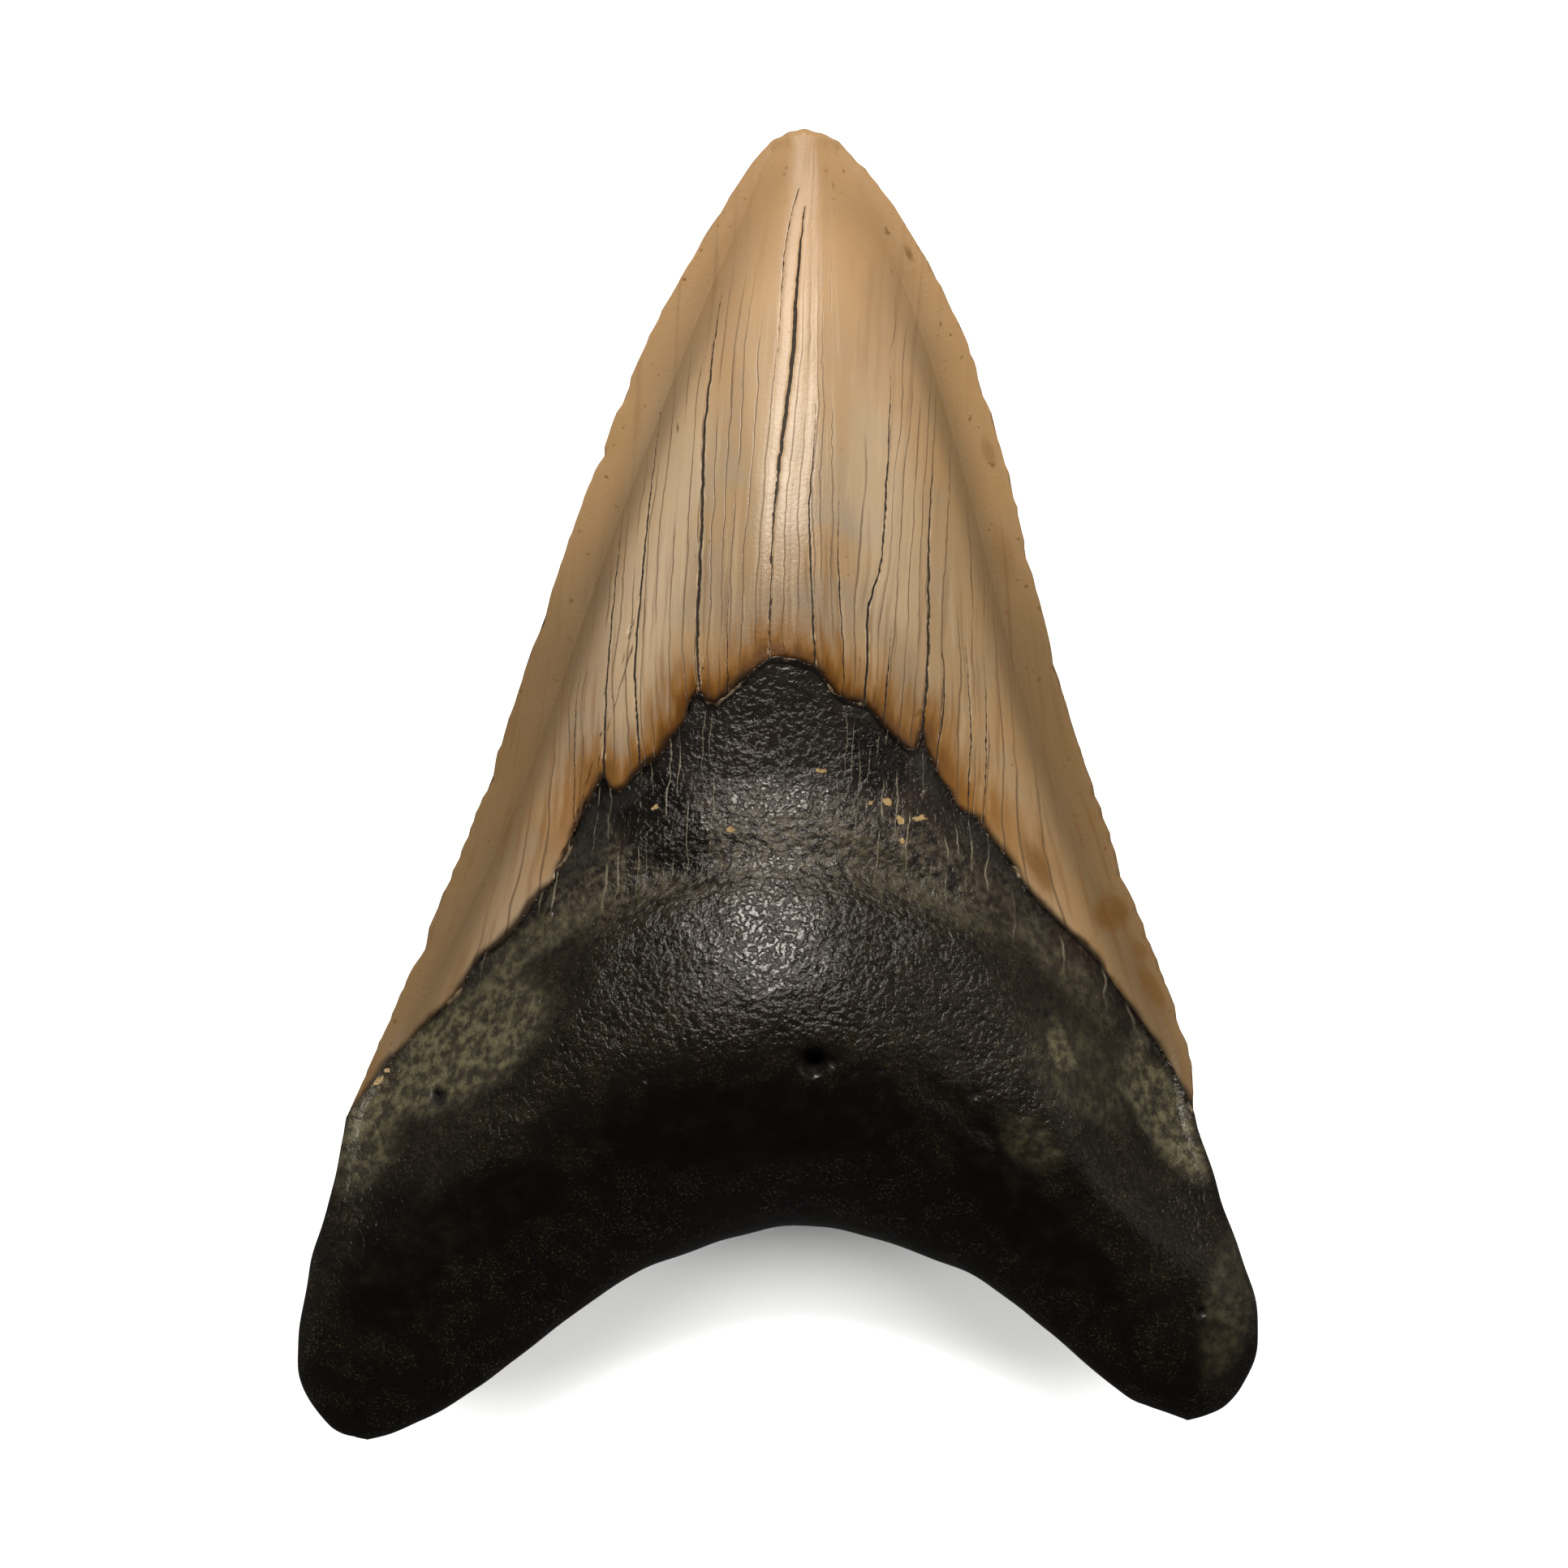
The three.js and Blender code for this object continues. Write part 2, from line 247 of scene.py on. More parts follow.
LEFT_CORNER = (-39.7, -30.7)
RIGHT_CORNER = (38.1, -30)
LEFT_SHOULDER_OF_TIP = (-1.3, 58.6)
RIGHT_SHOULDER_OF_TIP = (6.1, 58.6)
LEFT_LOBE_END = (-37.7, -60.3)
RIGHT_LOBE_END = (37.5, -58.5)

LEFT_CROWN_EDGE = Curve((
    LEFT_CORNER, (-34.2, -18), (-28, -3.1), (-22.9, 11.9),
    (-17.8, 26.8), (-11.7, 41.8), (-4.1, 54.8), LEFT_SHOULDER_OF_TIP,
))
RIGHT_CROWN_EDGE = Curve((
    RIGHT_CORNER, (37.5, -23.6), (33.3, -12.4), (27.4, 4.4), (23.9, 17.5),
    (20.6, 30.6), (16.9, 41.8), (10.8, 53), RIGHT_SHOULDER_OF_TIP,
))
TIP = Curve((LEFT_SHOULDER_OF_TIP, (0.2, 59.8), (2.2, 60.3), (4.5, 59.8), RIGHT_SHOULDER_OF_TIP))
LEFT_ROOT_SIDE = Curve((
    LEFT_LOBE_END, (-41, -59.1), (-43.6, -55.4), (-44.1, -51.6),
    (-42.8, -44.1), (-40.8, -36.7), LEFT_CORNER,
))
RIGHT_ROOT_SIDE = Curve((
    RIGHT_LOBE_END, (40.9, -57.2), (43.4, -53.5), (43.9, -49.7),
    (43.2, -45.5), (40.6, -38.5), RIGHT_CORNER,
))
ROOT_ARCH = Curve((
    LEFT_LOBE_END, (-33.8, -59.1), (-27.5, -55.4), (-17.6, -47.9), (-11, -44.1), (1.9, -40.6),
    (15.4, -44.1), (21.7, -47.9), (30.7, -55.4), (34, -57.2), RIGHT_LOBE_END,
))

# The enamel's torn lower edge: on the tongue side a chevron with a notch where each big crack ends
CHEVRON = Curve((
    LEFT_CORNER, (-38.8, -29.4), (-36.8, -26.9), (-35, -24.8), (-32, -21.7), (-29.7, -19.4),
    (-28.5, -17.7), (-27.3, -15.9), (-24.8, -14), (-21.8, -10.2), (-20.5, -8.8), (-20.4, -7.9),
    (-19.3, -6.3), (-18.8, -4.3), (-17.8, -2.5), (-16.4, 0.1), (-16, 0.7), (-15.7, 0.2),
    (-15.2, -0.6), (-14.1, -0.5), (-12.5, 1.3), (-10.8, 2.5), (-9.9, 4), (-8.5, 5.9),
    (-8.1, 7.5), (-7.4, 8.1), (-6.9, 7.9), (-6.5, 7.4), (-5.8, 7.2), (-5.2, 7.7),
    (-3.7, 8.9), (-1.4, 11), (0.2, 11.4), (2.2, 11), (3.3, 10.5), (4.3, 9.3),
    (5.3, 8.1), (6.6, 7.5), (8.1, 7), (9.3, 5.6), (10.5, 4.3), (11.8, 3.1),
    (12.6, 3.2), (13.1, 4.5), (13.4, 3.4), (14.6, 0.8), (15.6, -0.7), (16.5, -2.3),
    (17.9, -3.1), (18.9, -4.4), (21.3, -7.2), (21.9, -7.9), (22.4, -9.1), (24.1, -11.2),
    (25.5, -12.5), (28.6, -15.5), (29.7, -16.9), (32.7, -21), (35.4, -24.9), (36.9, -27.6),
    RIGHT_CORNER,
))
LIP_SIDE_ENAMEL_LINE = Curve((
    LEFT_CORNER, (-31, -24.8), (-16, -20.4), (0, -19.2), (15.5, -20.4), (30, -24.6), RIGHT_CORNER,
))


@dataclass(frozen=True)
class Outline:
    """The tooth's outline seen from above, clockwise from the end of its left lobe."""

    sample: float = 0.05

    def line(self) -> Array:
        """Trace the outline in even steps."""
        sides = (
            LEFT_ROOT_SIDE.traced(), LEFT_CROWN_EDGE.traced(), TIP.traced(),
            RIGHT_CROWN_EDGE.traced()[::-1], RIGHT_ROOT_SIDE.traced()[::-1], ROOT_ARCH.traced()[::-1],
        )
        loop = np.vstack(sides)
        length = np.hypot(*np.diff(loop, axis=0).T).sum()
        return walked_to(loop, np.linspace(0, 1, int(length / self.sample), endpoint=False))

    def measure(self, place: Array) -> tuple[Array, Array, Array]:
        """Measure how places lie to the outline.

        Args:
            place: Rows of x and y.

        Returns:
            Each place's distance to the outline, the way inwards from there, and how far along it is.
        """
        line = self.line()
        forward = np.roll(line, -1, axis=0) - np.roll(line, 1, axis=0)
        forward /= np.hypot(*forward.T)[:, None]
        nearest, depth = nearest_on(line, place)
        inwards = np.stack([forward[nearest, 1], -forward[nearest, 0]], axis=-1)
        return depth, inwards, nearest * self.sample


@dataclass
class Spots:
    """Every point of one face, with what its height and its marks depend on.

    in_root rises from 0 on the arch to 1 at the enamel. depth is the distance inside the outline,
    inwards is the way there from the outline, and walked is how far along the outline it is. margin
    is the distance from the enamel's edge, and is below 0 on the root.
    """

    x: Array
    y: Array
    in_root: Array
    is_crown: Array
    depth: Array
    inwards: Array
    walked: Array
    margin: Array


# What age has done to the tooth


@dataclass(frozen=True)
class Crack:
    """An age crack: its line from the upper to the lower end, and its widths along it."""

    points: Points
    widths: tuple[float, ...]
    runs_on: float = 0.4

    def across_at(self, y: Array) -> Array:
        """Say where the crack's line runs, carried on straight past its ends.

        Args:
            y: Places along the tooth.

        Returns:
            The line's x at each place.
        """
        x, along = Curve(self.points).traced()[::-1].T
        lean = (x[-1] - x[0]) / (along[-1] - along[0])
        past = np.minimum(y - along[0], 0) + np.maximum(y - along[-1], 0)
        return np.interp(y, along, x) + lean * past

    def width_at(self, y: Array) -> Array:
        """Say how wide the crack is, from 0 past its ends.

        Args:
            y: Places along the tooth.

        Returns:
            The full width at each place.
        """
        top, bottom = self.points[0][1], self.points[-1][1]
        stations = np.linspace(0, 1, len(self.widths))
        share = (top - y) / (top - bottom)
        inside = (share >= 0) & (y >= bottom - self.runs_on)
        return np.where(inside, np.interp(share, stations, self.widths), 0)


# From left to right. The first and the last are closed, and only lead the hairlines between them.
CRACKS = (
    Crack(((-19.6, 30), (-21.3, 14), (-23.6, -4), (-27, -20)), (0,)),
    Crack(((-18.2, 10), (-18.6, 7.2), (-18.7, -3)), (0.1, 0.16, 0.16)),
    Crack(((-14.3, 25.5), (-14.6, 22), (-15.2, 16.2), (-15.5, 12.4), (-15.8, 8.1), (-16, 0.6)),
          (0.08, 0.2, 0.24, 0.3)),
    Crack(((-10.8, 34.6), (-11.6, 28), (-11.9, 25.6), (-12.9, 14), (-13.1, 9.1), (-12.6, 1.3)),
          (0.08, 0.24, 0.28, 0.26)),
    Crack(((-5, 46.4), (-5.5, 43.4), (-6.7, 33.2), (-7, 23.7), (-7.4, 14), (-7.2, 9.3), (-7, 8)),
          (0.08, 0.26, 0.34, 0.34, 0.3)),
    Crack(((-1, 54), (-2.6, 44), (-3.7, 30), (-4.6, 15.5), (-4.6, 8.3)),
          (0, 0, 0, 0, 0, 0.1, 0.18)),
    Crack(((2, 55), (1.4, 53), (0.9, 51), (0.4, 47.4), (0, 40.6), (-1, 29.6), (-2, 11.4)),
          (0.14, 0.14, 0.12, 0, 0, 0, 0)),
    Crack(((2.5, 53.3), (2.2, 51.2), (1.6, 44.5), (1.3, 39.2), (0.1, 29.6), (-0.6, 22.1), (-0.9, 11.4)),
          (0.14, 0.3, 0.44, 0.42, 0.38, 0.26, 0.22, 0.2)),
    Crack(((3.4, 35), (3.2, 30.2), (2.8, 25.3), (2.9, 20.5), (3.3, 11)), (0.08, 0.2, 0.26, 0.24)),
    Crack(((5.6, 27.6), (5.4, 20.5), (5.9, 11.4), (5.8, 8.2)), (0.08, 0.18, 0.16)),
    Crack(((10.3, 38.2), (10.2, 34), (9.6, 22.7), (9.3, 19.8), (8.1, 15.6), (8.1, 12.3), (7.8, 7.2)),
          (0.08, 0.24, 0.28, 0.26)),
    Crack(((10.3, 15), (9.9, 9.6), (9.5, 5.8)), (0.08, 0.18, 0.18)),
    Crack(((14.3, 30.2), (13.8, 23.7), (13.7, 14.6), (13.5, 9.1), (13.1, 4.8)), (0.08, 0.24, 0.3, 0.34)),
    Crack(((14.9, 12.7), (15.1, 7.5), (14.3, 1.6)), (0.08, 0.2, 0.18)),
    Crack(((17, 13.4), (17.3, 10.5), (17.6, 4), (17.3, -2.6)), (0.08, 0.2, 0.18)),
    Crack(((18.7, 12.9), (19, 6.4), (18.9, 0.7), (18.6, -3.8)), (0.08, 0.18, 0.18)),
    Crack(((21.4, 20), (22.6, 6), (24.6, -8), (27.5, -24)), (0,)),
)


@dataclass(frozen=True)
class Oval:
    """A soft-edged oval mark, its long side turned anticlockwise from +X by some degrees.

    core and faded are the shares of its size where it starts to fade and where it has gone.
    """

    x: float
    y: float
    long: float
    short: float
    turn: float = 0.0
    strength: float = 1.0
    core: float = 0.55
    faded: float = 1.25

    def read(self, x: Array, y: Array) -> Array:
        """Say how much of the mark is at each place.

        Args:
            x: Places across.
            y: Places along.

        Returns:
            The mark's strength, falling to 0 outside it.
        """
        angle = math.radians(self.turn)
        along = (x - self.x) * math.cos(angle) + (y - self.y) * math.sin(angle)
        aside = (y - self.y) * math.cos(angle) - (x - self.x) * math.sin(angle)
        reach = np.hypot(along / self.long, aside / self.short)
        return self.strength * (1 - smoothstep(reach, self.core, self.faded))


ENAMEL_BLOTCHES = (
    Oval(11.5, 9, 6, 2.2, turn=105, strength=0.3),
    Oval(30.6, -12, 1.9, 1.8, strength=0.9),
    Oval(23.6, -7.4, 3.2, 1, turn=-64, strength=0.85),
    Oval(34.3, -18.9, 2.6, 0.9, turn=-62, strength=0.7),
    Oval(33.2, -15.4, 1.2, 0.8, turn=-60, strength=0.6),
    Oval(12, 48.9, 0.8, 0.35, turn=-60, strength=0.8),
    Oval(19.3, 30.6, 1.6, 0.7, turn=-72, strength=0.45),
    Oval(20.8, 21, 3.4, 1.1, turn=-76, strength=0.35),
    Oval(12.9, 6.4, 0.5, 0.3, strength=0.9),
)
# Olive crusts; the ovals on the left shoulder and the right lobe's outer flank also paint a sheen
OLIVE_STAINS_AND_SHEEN = (
    Oval(-28.4, -24, 9, 4.2, turn=36),
    Oval(-21, -13.6, 9, 1.6, turn=36, strength=0.5),
    Oval(-36.8, -29.6, 3.6, 2, turn=48, strength=0.7),
    Oval(35.2, -30.2, 6.8, 2.2, turn=-60, strength=1.3),
    Oval(25.6, -24.3, 2, 1, turn=-70, strength=0.8),
    Oval(33.2, -23.6, 1.2, 0.7, turn=-50, strength=0.7),
    Oval(26, -17, 8, 1.6, turn=-48, strength=0.35),
    Oval(12.5, -9.5, 10, 1.8, turn=-30, strength=0.3),
    # Partly dust, partly a painted sheen on the right lobe's outer flank
    Oval(41, -48, 8, 2.6, turn=80, strength=0.35),
    Oval(22.9, -32.7, 3.6, 2.2, turn=-40, strength=0.4),
    # Partly olive crust, partly a painted sheen on the left shoulder
    Oval(-38, -33.5, 5, 3, turn=60, strength=0.5),
    Oval(27, -26, 7, 4, turn=-50, strength=0.3),
)
OCHRE_FLECKS = (
    Oval(9.9, -1.7, 0.55, 0.4, turn=-30), Oval(8.3, -1.8, 0.4, 0.3),
    Oval(11.1, -3.4, 0.6, 0.35, turn=-70), Oval(12.9, -3.2, 1, 0.35, turn=10, strength=0.8),
    Oval(11.3, -5.3, 0.5, 0.3), Oval(3.9, 1.1, 0.7, 0.25),
    Oval(-4.4, -4.3, 0.5, 0.35), Oval(-11.2, -2.2, 0.7, 0.35, turn=30, strength=0.7),
    Oval(-36.8, -27.4, 0.7, 0.35, turn=40), Oval(-36, -26.5, 0.4, 0.3),
)
# Paler enamel to both sides of the ridge, and on the ridge a painted sheen
PALE_ENAMEL_AND_SHEEN = (
    Oval(-11, 24, 20, 4, turn=80, strength=0.9), Oval(10, 25, 14, 3.6, turn=98, strength=0.7),
    # A painted sheen along the ridge
    Oval(0.3, 39, 20, 3.8, turn=92, strength=0.85),
)
# Near-black patches on the lobes, on the root below the bulge and beside the dentine's middle
NEAR_BLACK_PATCHES = (
    Oval(-35, -43.5, 8, 5, turn=70), Oval(-26, -38.5, 8, 3.6, turn=30),
    Oval(-3, -31, 18, 4.4, turn=3), Oval(24, -41, 10, 3, turn=-40),
    Oval(-11.4, -2.9, 7.6, 3.8, turn=-48, strength=1.2), Oval(9, 2.2, 3.8, 2.6, turn=-50, strength=1.1),
    Oval(19.5, -33.5, 5, 2.6, turn=-35),
)
GREY_CHIPS = (
    Oval(-17.4, -5.4, 5.2, 1.7, turn=62), Oval(-13.3, -0.9, 2.4, 1, turn=40),
    Oval(-7.9, 6, 1.6, 0.9, turn=60), Oval(7.4, 6.2, 1.6, 0.8, turn=-15),
    Oval(13.6, 0.9, 3, 1.1, turn=-62), Oval(18.6, -5.2, 3.6, 1, turn=-50),
    Oval(22, -9.3, 1.6, 0.8, turn=-50), Oval(-28, -17.9, 2.4, 0.9, turn=45, strength=0.8),
)


@dataclass(frozen=True)
class Pit:
    """A small round hole of the root."""

    x: float
    y: float
    radius: float
    deep: float

    def read(self, x: Array, y: Array) -> Array:
        """Say how deep the hole is at each place, as a share of its depth."""
        return bell(np.hypot(x - self.x, y - self.y), 0, self.radius)


NUTRIENT_HOLES = (
    Pit(3.2, -25.1, 0.95, 2.6), Pit(4.9, -25.2, 0.38, 0.5), Pit(6.9, -26.2, 0.34, 0.4),
    Pit(9.2, -26, 0.32, 0.35), Pit(17.8, -28.2, 0.38, 0.5), Pit(-31, -28.8, 0.7, 1.3),
    Pit(24.5, -21.1, 0.36, 0.5), Pit(38.5, -48.3, 0.4, 0.5), Pit(-7, -25.8, 0.34, 0.3),
    Pit(-12, -26.6, 0.36, 0.3), Pit(15.7, -9.6, 0.4, 0.3), Pit(-16.4, -2.4, 0.4, 0.35),
)

# Marks that are drawn on the tongue side
DRAWN = {
    Mark.BLOTCH: ENAMEL_BLOTCHES, Mark.PALE: PALE_ENAMEL_AND_SHEEN, Mark.OLIVE: OLIVE_STAINS_AND_SHEEN, Mark.BLACK: NEAR_BLACK_PATCHES,
    Mark.OCHRE: OCHRE_FLECKS, Mark.CHIP: GREY_CHIPS, Mark.HOLE: NUTRIENT_HOLES,
}

# The line of a crease that runs down the right lobe
LOBE_CREASE = Crack(((16.4, -27.7), (20.9, -31.3), (24.9, -34.4), (28.7, -37.8), (32.9, -42.3)), (0,))


@dataclass(frozen=True)
class EdgeChip:
    """A chip of the cutting edge: where it is along, and its reach and depth."""

    at: float
    reach: float
    deep: float


LEFT_EDGE_CHIPS = (
    EdgeChip(36, 1, 0.3), EdgeChip(30.4, 0.9, 0.4), EdgeChip(15, 1.4, 0.25),
    EdgeChip(0.2, 1, 0.4), EdgeChip(-15.2, 1.3, 0.4),
)
RIGHT_EDGE_CHIPS = (
    EdgeChip(36.4, 1, 0.3), EdgeChip(21, 1.2, 0.25), EdgeChip(10.6, 0.9, 0.3),
    EdgeChip(-8.3, 1.6, 0.4), EdgeChip(-22.4, 1.2, 0.3),
)


@dataclass(frozen=True)
class EdgeWear:
    """Worn serrations of the crown's edge, slower waves of the root's, and the edge's chips."""

    scallops: Noise = Noise(21, 1.15, 0.16)
    waves: Noise = Noise(22, 4.5, 0.16)
    reach: float = 3.0

    def read(self, spots: Spots) -> Array:
        """Say how far points near the outline have worn inwards.

        Args:
            spots: The face's points.

        Returns:
            Distances inwards, 0 past the wear's reach.
        """
        still = np.zeros_like(spots.walked)
        scallops, waves = (noise.read(spots.walked, still) for noise in (self.scallops, self.waves))
        worn = scallops + (waves - scallops) * smoothstep(spots.y, -27, -33)
        for chips, here in ((LEFT_EDGE_CHIPS, spots.x < 0), (RIGHT_EDGE_CHIPS, spots.x > 0)):
            for chip in chips:
                worn = worn + np.where(here, chip.deep * bell(spots.y, chip.at, chip.reach), 0)
        return worn * (1 - np.clip(spots.depth / self.reach, 0, 1)) ** 2


# The form of the tooth


@dataclass
class Flow:
    """How the enamel's cracks and fibres run past each point.

    straight is the place across once every crack has been made straight. count is a whole number on
    each crack, from 0 on the leftmost, gap is the distance between the cracks to both sides, and
    width is that of the nearest crack.
    """

    straight: Array
    count: Array
    gap: Array
    width: Array


# The height where a crack already lies at its straightened place
HOME_ROW = np.array([12.0])

# How a crack's walls wander to its sides
WANDERING = Noise(31, 1.3, 0.07)
FINE_WANDERING = Noise(32, 0.6, 0.05)


def read_flow(x: Array, y: Array) -> Flow:
    """Follow the cracks past each place.

    Args:
        x: Places across.
        y: Places along.

    Returns:
        How the cracks run there.
    """
    ragged = x + WANDERING.read(x, y) + FINE_WANDERING.read(x, y)
    lines = np.stack([crack.across_at(y) for crack in CRACKS])
    homes = np.concatenate([crack.across_at(HOME_ROW) for crack in CRACKS])
    left = np.clip((ragged > lines).sum(axis=0) - 1, 0, len(CRACKS) - 2)
    each = np.arange(len(x))
    gap = lines[left + 1, each] - lines[left, each]
    share = (ragged - lines[left, each]) / gap
    count = left + share
    nearest = np.clip(np.round(count).astype(int), 0, len(CRACKS) - 1)
    widths = np.stack([crack.width_at(y) for crack in CRACKS])
    return Flow(homes[left] + share * (homes[left + 1] - homes[left]), count, gap, widths[nearest, each])


@dataclass(frozen=True)
class ToothForm:
    """Heights of both faces above the resting plane, on the frame's own sizes."""

    edge: Profile = Profile((-61, -46, -36, -28, -10, 15, 45, 60.3), (8.5, 9.5, 8.5, 6.2, 4.2, 3.6, 3.3, 3.6))
    ridge: Profile = Profile(
        (-35, -11, -6, -2.5, 0.5, 3, 11, 20, 30, 40, 50, 60.3),
        (22.2, 22, 20.4, 19, 18.1, 17.8, 17.5, 16.3, 13.8, 10.9, 7.8, 4.9),
    )
    ridge_line: Profile = Profile((-20, -2, 12, 60), (0.5, -2, -0.6, 2.2))
    root_body: Profile = Profile((-60, -48, -36, -20), (12, 13.8, 15.6, 15.6))
    bulge: Profile = Profile(
        (-60, -45, -36, -28, -23, -20, -17, -14, -10.5, -7, 0, 9),
        (0, 1, 4.1, 7.9, 9.2, 9, 8.25, 7.1, 5.65, 4, 1.6, 0.4),
    )
    bulge_across: Profile = Profile(
        (-44, -34, -23, -15, -8.5, -2, 5.5, 11, 19.5, 32, 44),
        (0.02, 0.13, 0.42, 0.75, 0.94, 1, 0.93, 0.75, 0.44, 0.12, 0.02),
    )
    lobe_swell: float = 0.5
    lobe_at: tuple[float, float] = (31.5, -44.0)
    lobe_reach: tuple[float, float] = (11.0, 16.0)
    lumps: Noise = Noise(11, 6.5, 0.16)
    knobs: Noise = Noise(12, 2.6, 0.06)
    leather: Noise = Noise(13, 1.2, 0.05)
    fibres: Noise = Noise(14, 1.4, 0.035)
    fibre_stretch: float = 12.0
    dents: Noise = Noise(15, 4, 0.05)
    dentine_grain: Noise = Noise(16, 1.1, 0.05)
    root_rounding: float = 11.0
    crown_flatness: float = 2.3
    crown_arch_power: float = 1.12
    flange_width: Profile = Profile((-30, -10, 20, 44, 56, 60.3), (1.5, 3, 3.9, 3.6, 1.6, 0.4))
    flange_rounding: float = 1.8
    flange_swell: float = 0.7
    fold_inside_flange: float = 0.3
    fold_reach: float = 1.2
    middle_reach: float = 8.0
    valley: float = 1.3
    valley_middle: float = -7.4
    valley_bow: float = 0.0137
    valley_width: float = 2.4
    valley_fade: float = 0.7
    valley_fade_reach: float = 9.0
    enamel_reach: float = 8.0
    enamel_ledge: float = 0.6
    chip_rise: float = 0.12
    crack_deepness: float = 0.25
    crease: float = 0.35
    lip_flank_width: float = 14.0
    lip_lobe_rise: float = 1.9
    lip_ledge: float = 0.35
    lip_lumps: float = 0.12
    on_outline: float = 0.06

    def crown_top(self, spots: Spots) -> Array:
        """Give the crown's height on the tongue side: a rounded ridge between two thin flanges.

        Args:
            spots: The face's points.

        Returns:
            Heights above the resting plane.
        """
        x, y, depth = spots.x, spots.y, spots.depth
        sides = (LEFT_ROOT_SIDE, LEFT_CROWN_EDGE), (RIGHT_ROOT_SIDE, RIGHT_CROWN_EDGE)
        left, right = (np.interp(y, *np.vstack([part.traced() for part in side]).T[::-1]) for side in sides)
        middle = self.ridge_line.read(y)
        flange = self.flange_width.read(y)
        half = np.maximum(np.where(x < middle, middle - (left + flange), right - flange - middle), 1)
        across = np.clip((x - middle) / half, -1, 1)
        arch = (1 - np.abs(across) ** self.crown_flatness) ** self.crown_arch_power
        low = self.edge.read(y) + self.flange_swell * rounded_rise(depth, self.flange_rounding)
        return low + (self.ridge.read(y) - low) * arch

    def root_top(self, spots: Spots) -> Array:
        """Give the root's height on the tongue side: a bulge in the middle and two swollen lobes.

        Args:
            spots: The face's points.

        Returns:
            Heights above the resting plane.
        """
        x, y, depth = spots.x, spots.y, spots.depth
        bulge = self.bulge.read(y + self.valley_bow * x**2) * self.bulge_across.read(x)
        (lobe_x, lobe_y), (reach_x, reach_y) = self.lobe_at, self.lobe_reach
        lobes = self.lobe_swell * bell(np.abs(x), lobe_x, reach_x) * bell(y, lobe_y, reach_y)
        lumps = self.lumps.read(x, y) + self.knobs.read(x, y)
        # The crease runs aslant, so it is only three quarters as far off as it is across
        beyond = 0.75 * (x - LOBE_CREASE.across_at(y))
        ends = smoothstep(y, -46, -39) * smoothstep(y, -24, -29)
        crease = self.crease * (bell(beyond, -1.6, 1.5) + 0.5 * smoothstep(beyond, 0, -3)) * ends
        edge = self.edge.read(y)
        body = self.root_body.read(y) + bulge + lobes + lumps + self.leather.read(x, y) - crease
        return edge + (body - edge) * rounded_rise(depth, self.root_rounding)

    def above_valley(self, x: Array, y: Array) -> Array:
        """Say how far places are above the shallow valley that parts the root from the dentine."""
        return y - self.valley_middle + self.valley_bow * x**2

    def tongue_side(self, spots: Spots, flow: Flow) -> Array:
        """Give the heights of the tongue side.

        Args:
            spots: The face's points.
            flow: How the cracks run past them.

        Returns:
            Heights above the resting plane.
        """
        x, y, depth = spots.x, spots.y, spots.depth
        uneven = self.fibres.read(flow.straight, y / self.fibre_stretch) + self.dents.read(x, y)
        crown = self.crown_top(spots) + uneven * smoothstep(depth, 0.5, 3)
        off_crack = np.abs(flow.count - np.round(flow.count)) * flow.gap
        opened = np.maximum(flow.width, 0.02) / 2
        groove = self.crack_deepness * flow.width * bell(off_crack / opened, 0, 1)
        above = self.above_valley(x, y)
        near_crown = smoothstep(above, -4, 9)
        valley = self.valley * bell(above, 0.5, self.valley_width) * smoothstep(depth, 2, 14)
        valley = valley * (1 - self.valley_fade * bell(x, 0, self.valley_fade_reach))
        reach = self.enamel_reach * (1 + smoothstep(np.abs(x), 10, 34))
        near_enamel = smoothstep(spots.margin / reach, -1, 0)
        chips = self.chip_rise * sum(oval.read(x, y) for oval in GREY_CHIPS)
        rough = self.dentine_grain.read(x, y) * smoothstep(np.abs(x), 26, 8)
        dentine = crown + (chips + rough - self.enamel_ledge) * smoothstep(depth, 0.4, 4)
        root = self.root_top(spots)
        share = 1 - (1 - near_crown) * (1 - near_enamel)
        holes = sum(pit.deep * pit.read(x, y) for pit in NUTRIENT_HOLES)
        rooted = root + (dentine - root) * share - valley * (1 - near_enamel) - holes
        height = np.where(spots.is_crown, crown - groove, rooted)
        return np.where(depth < self.on_outline, self.edge.read(y), height)

    def lip_side(self, spots: Spots) -> Array:
        """Give the heights of the lip side, which is flat in its middle and rests there.

        Args:
            spots: The face's points.

        Returns:
            Heights above the resting plane.
        """
        edge = self.edge.read(spots.y)
        crown_flank = (1 - np.clip(spots.depth / self.lip_flank_width, 0, 1)) ** 2
        root_flank = 1 - rounded_rise(spots.depth, self.root_rounding)
        flank = root_flank + (crown_flank - root_flank) * smoothstep(spots.in_root, 0.55, 1)
        lobe = self.lip_lobe_rise * smoothstep(np.abs(spots.x), 15, 41)
        ledge = self.lip_ledge * smoothstep(spots.in_root, 0.9, 1) * smoothstep(spots.depth, 1, 5)
        noise = Noise(17, 5).read(spots.x, spots.y)
        lumps = self.lip_lumps * (1 + noise) * smoothstep(spots.depth, 0.5, 4)
        rooted = edge * flank + (lobe + ledge + lumps) * (1 - flank)
        height = np.where(spots.is_crown, edge * crown_flank, rooted)
        return np.where(spots.depth < self.on_outline, edge, height)


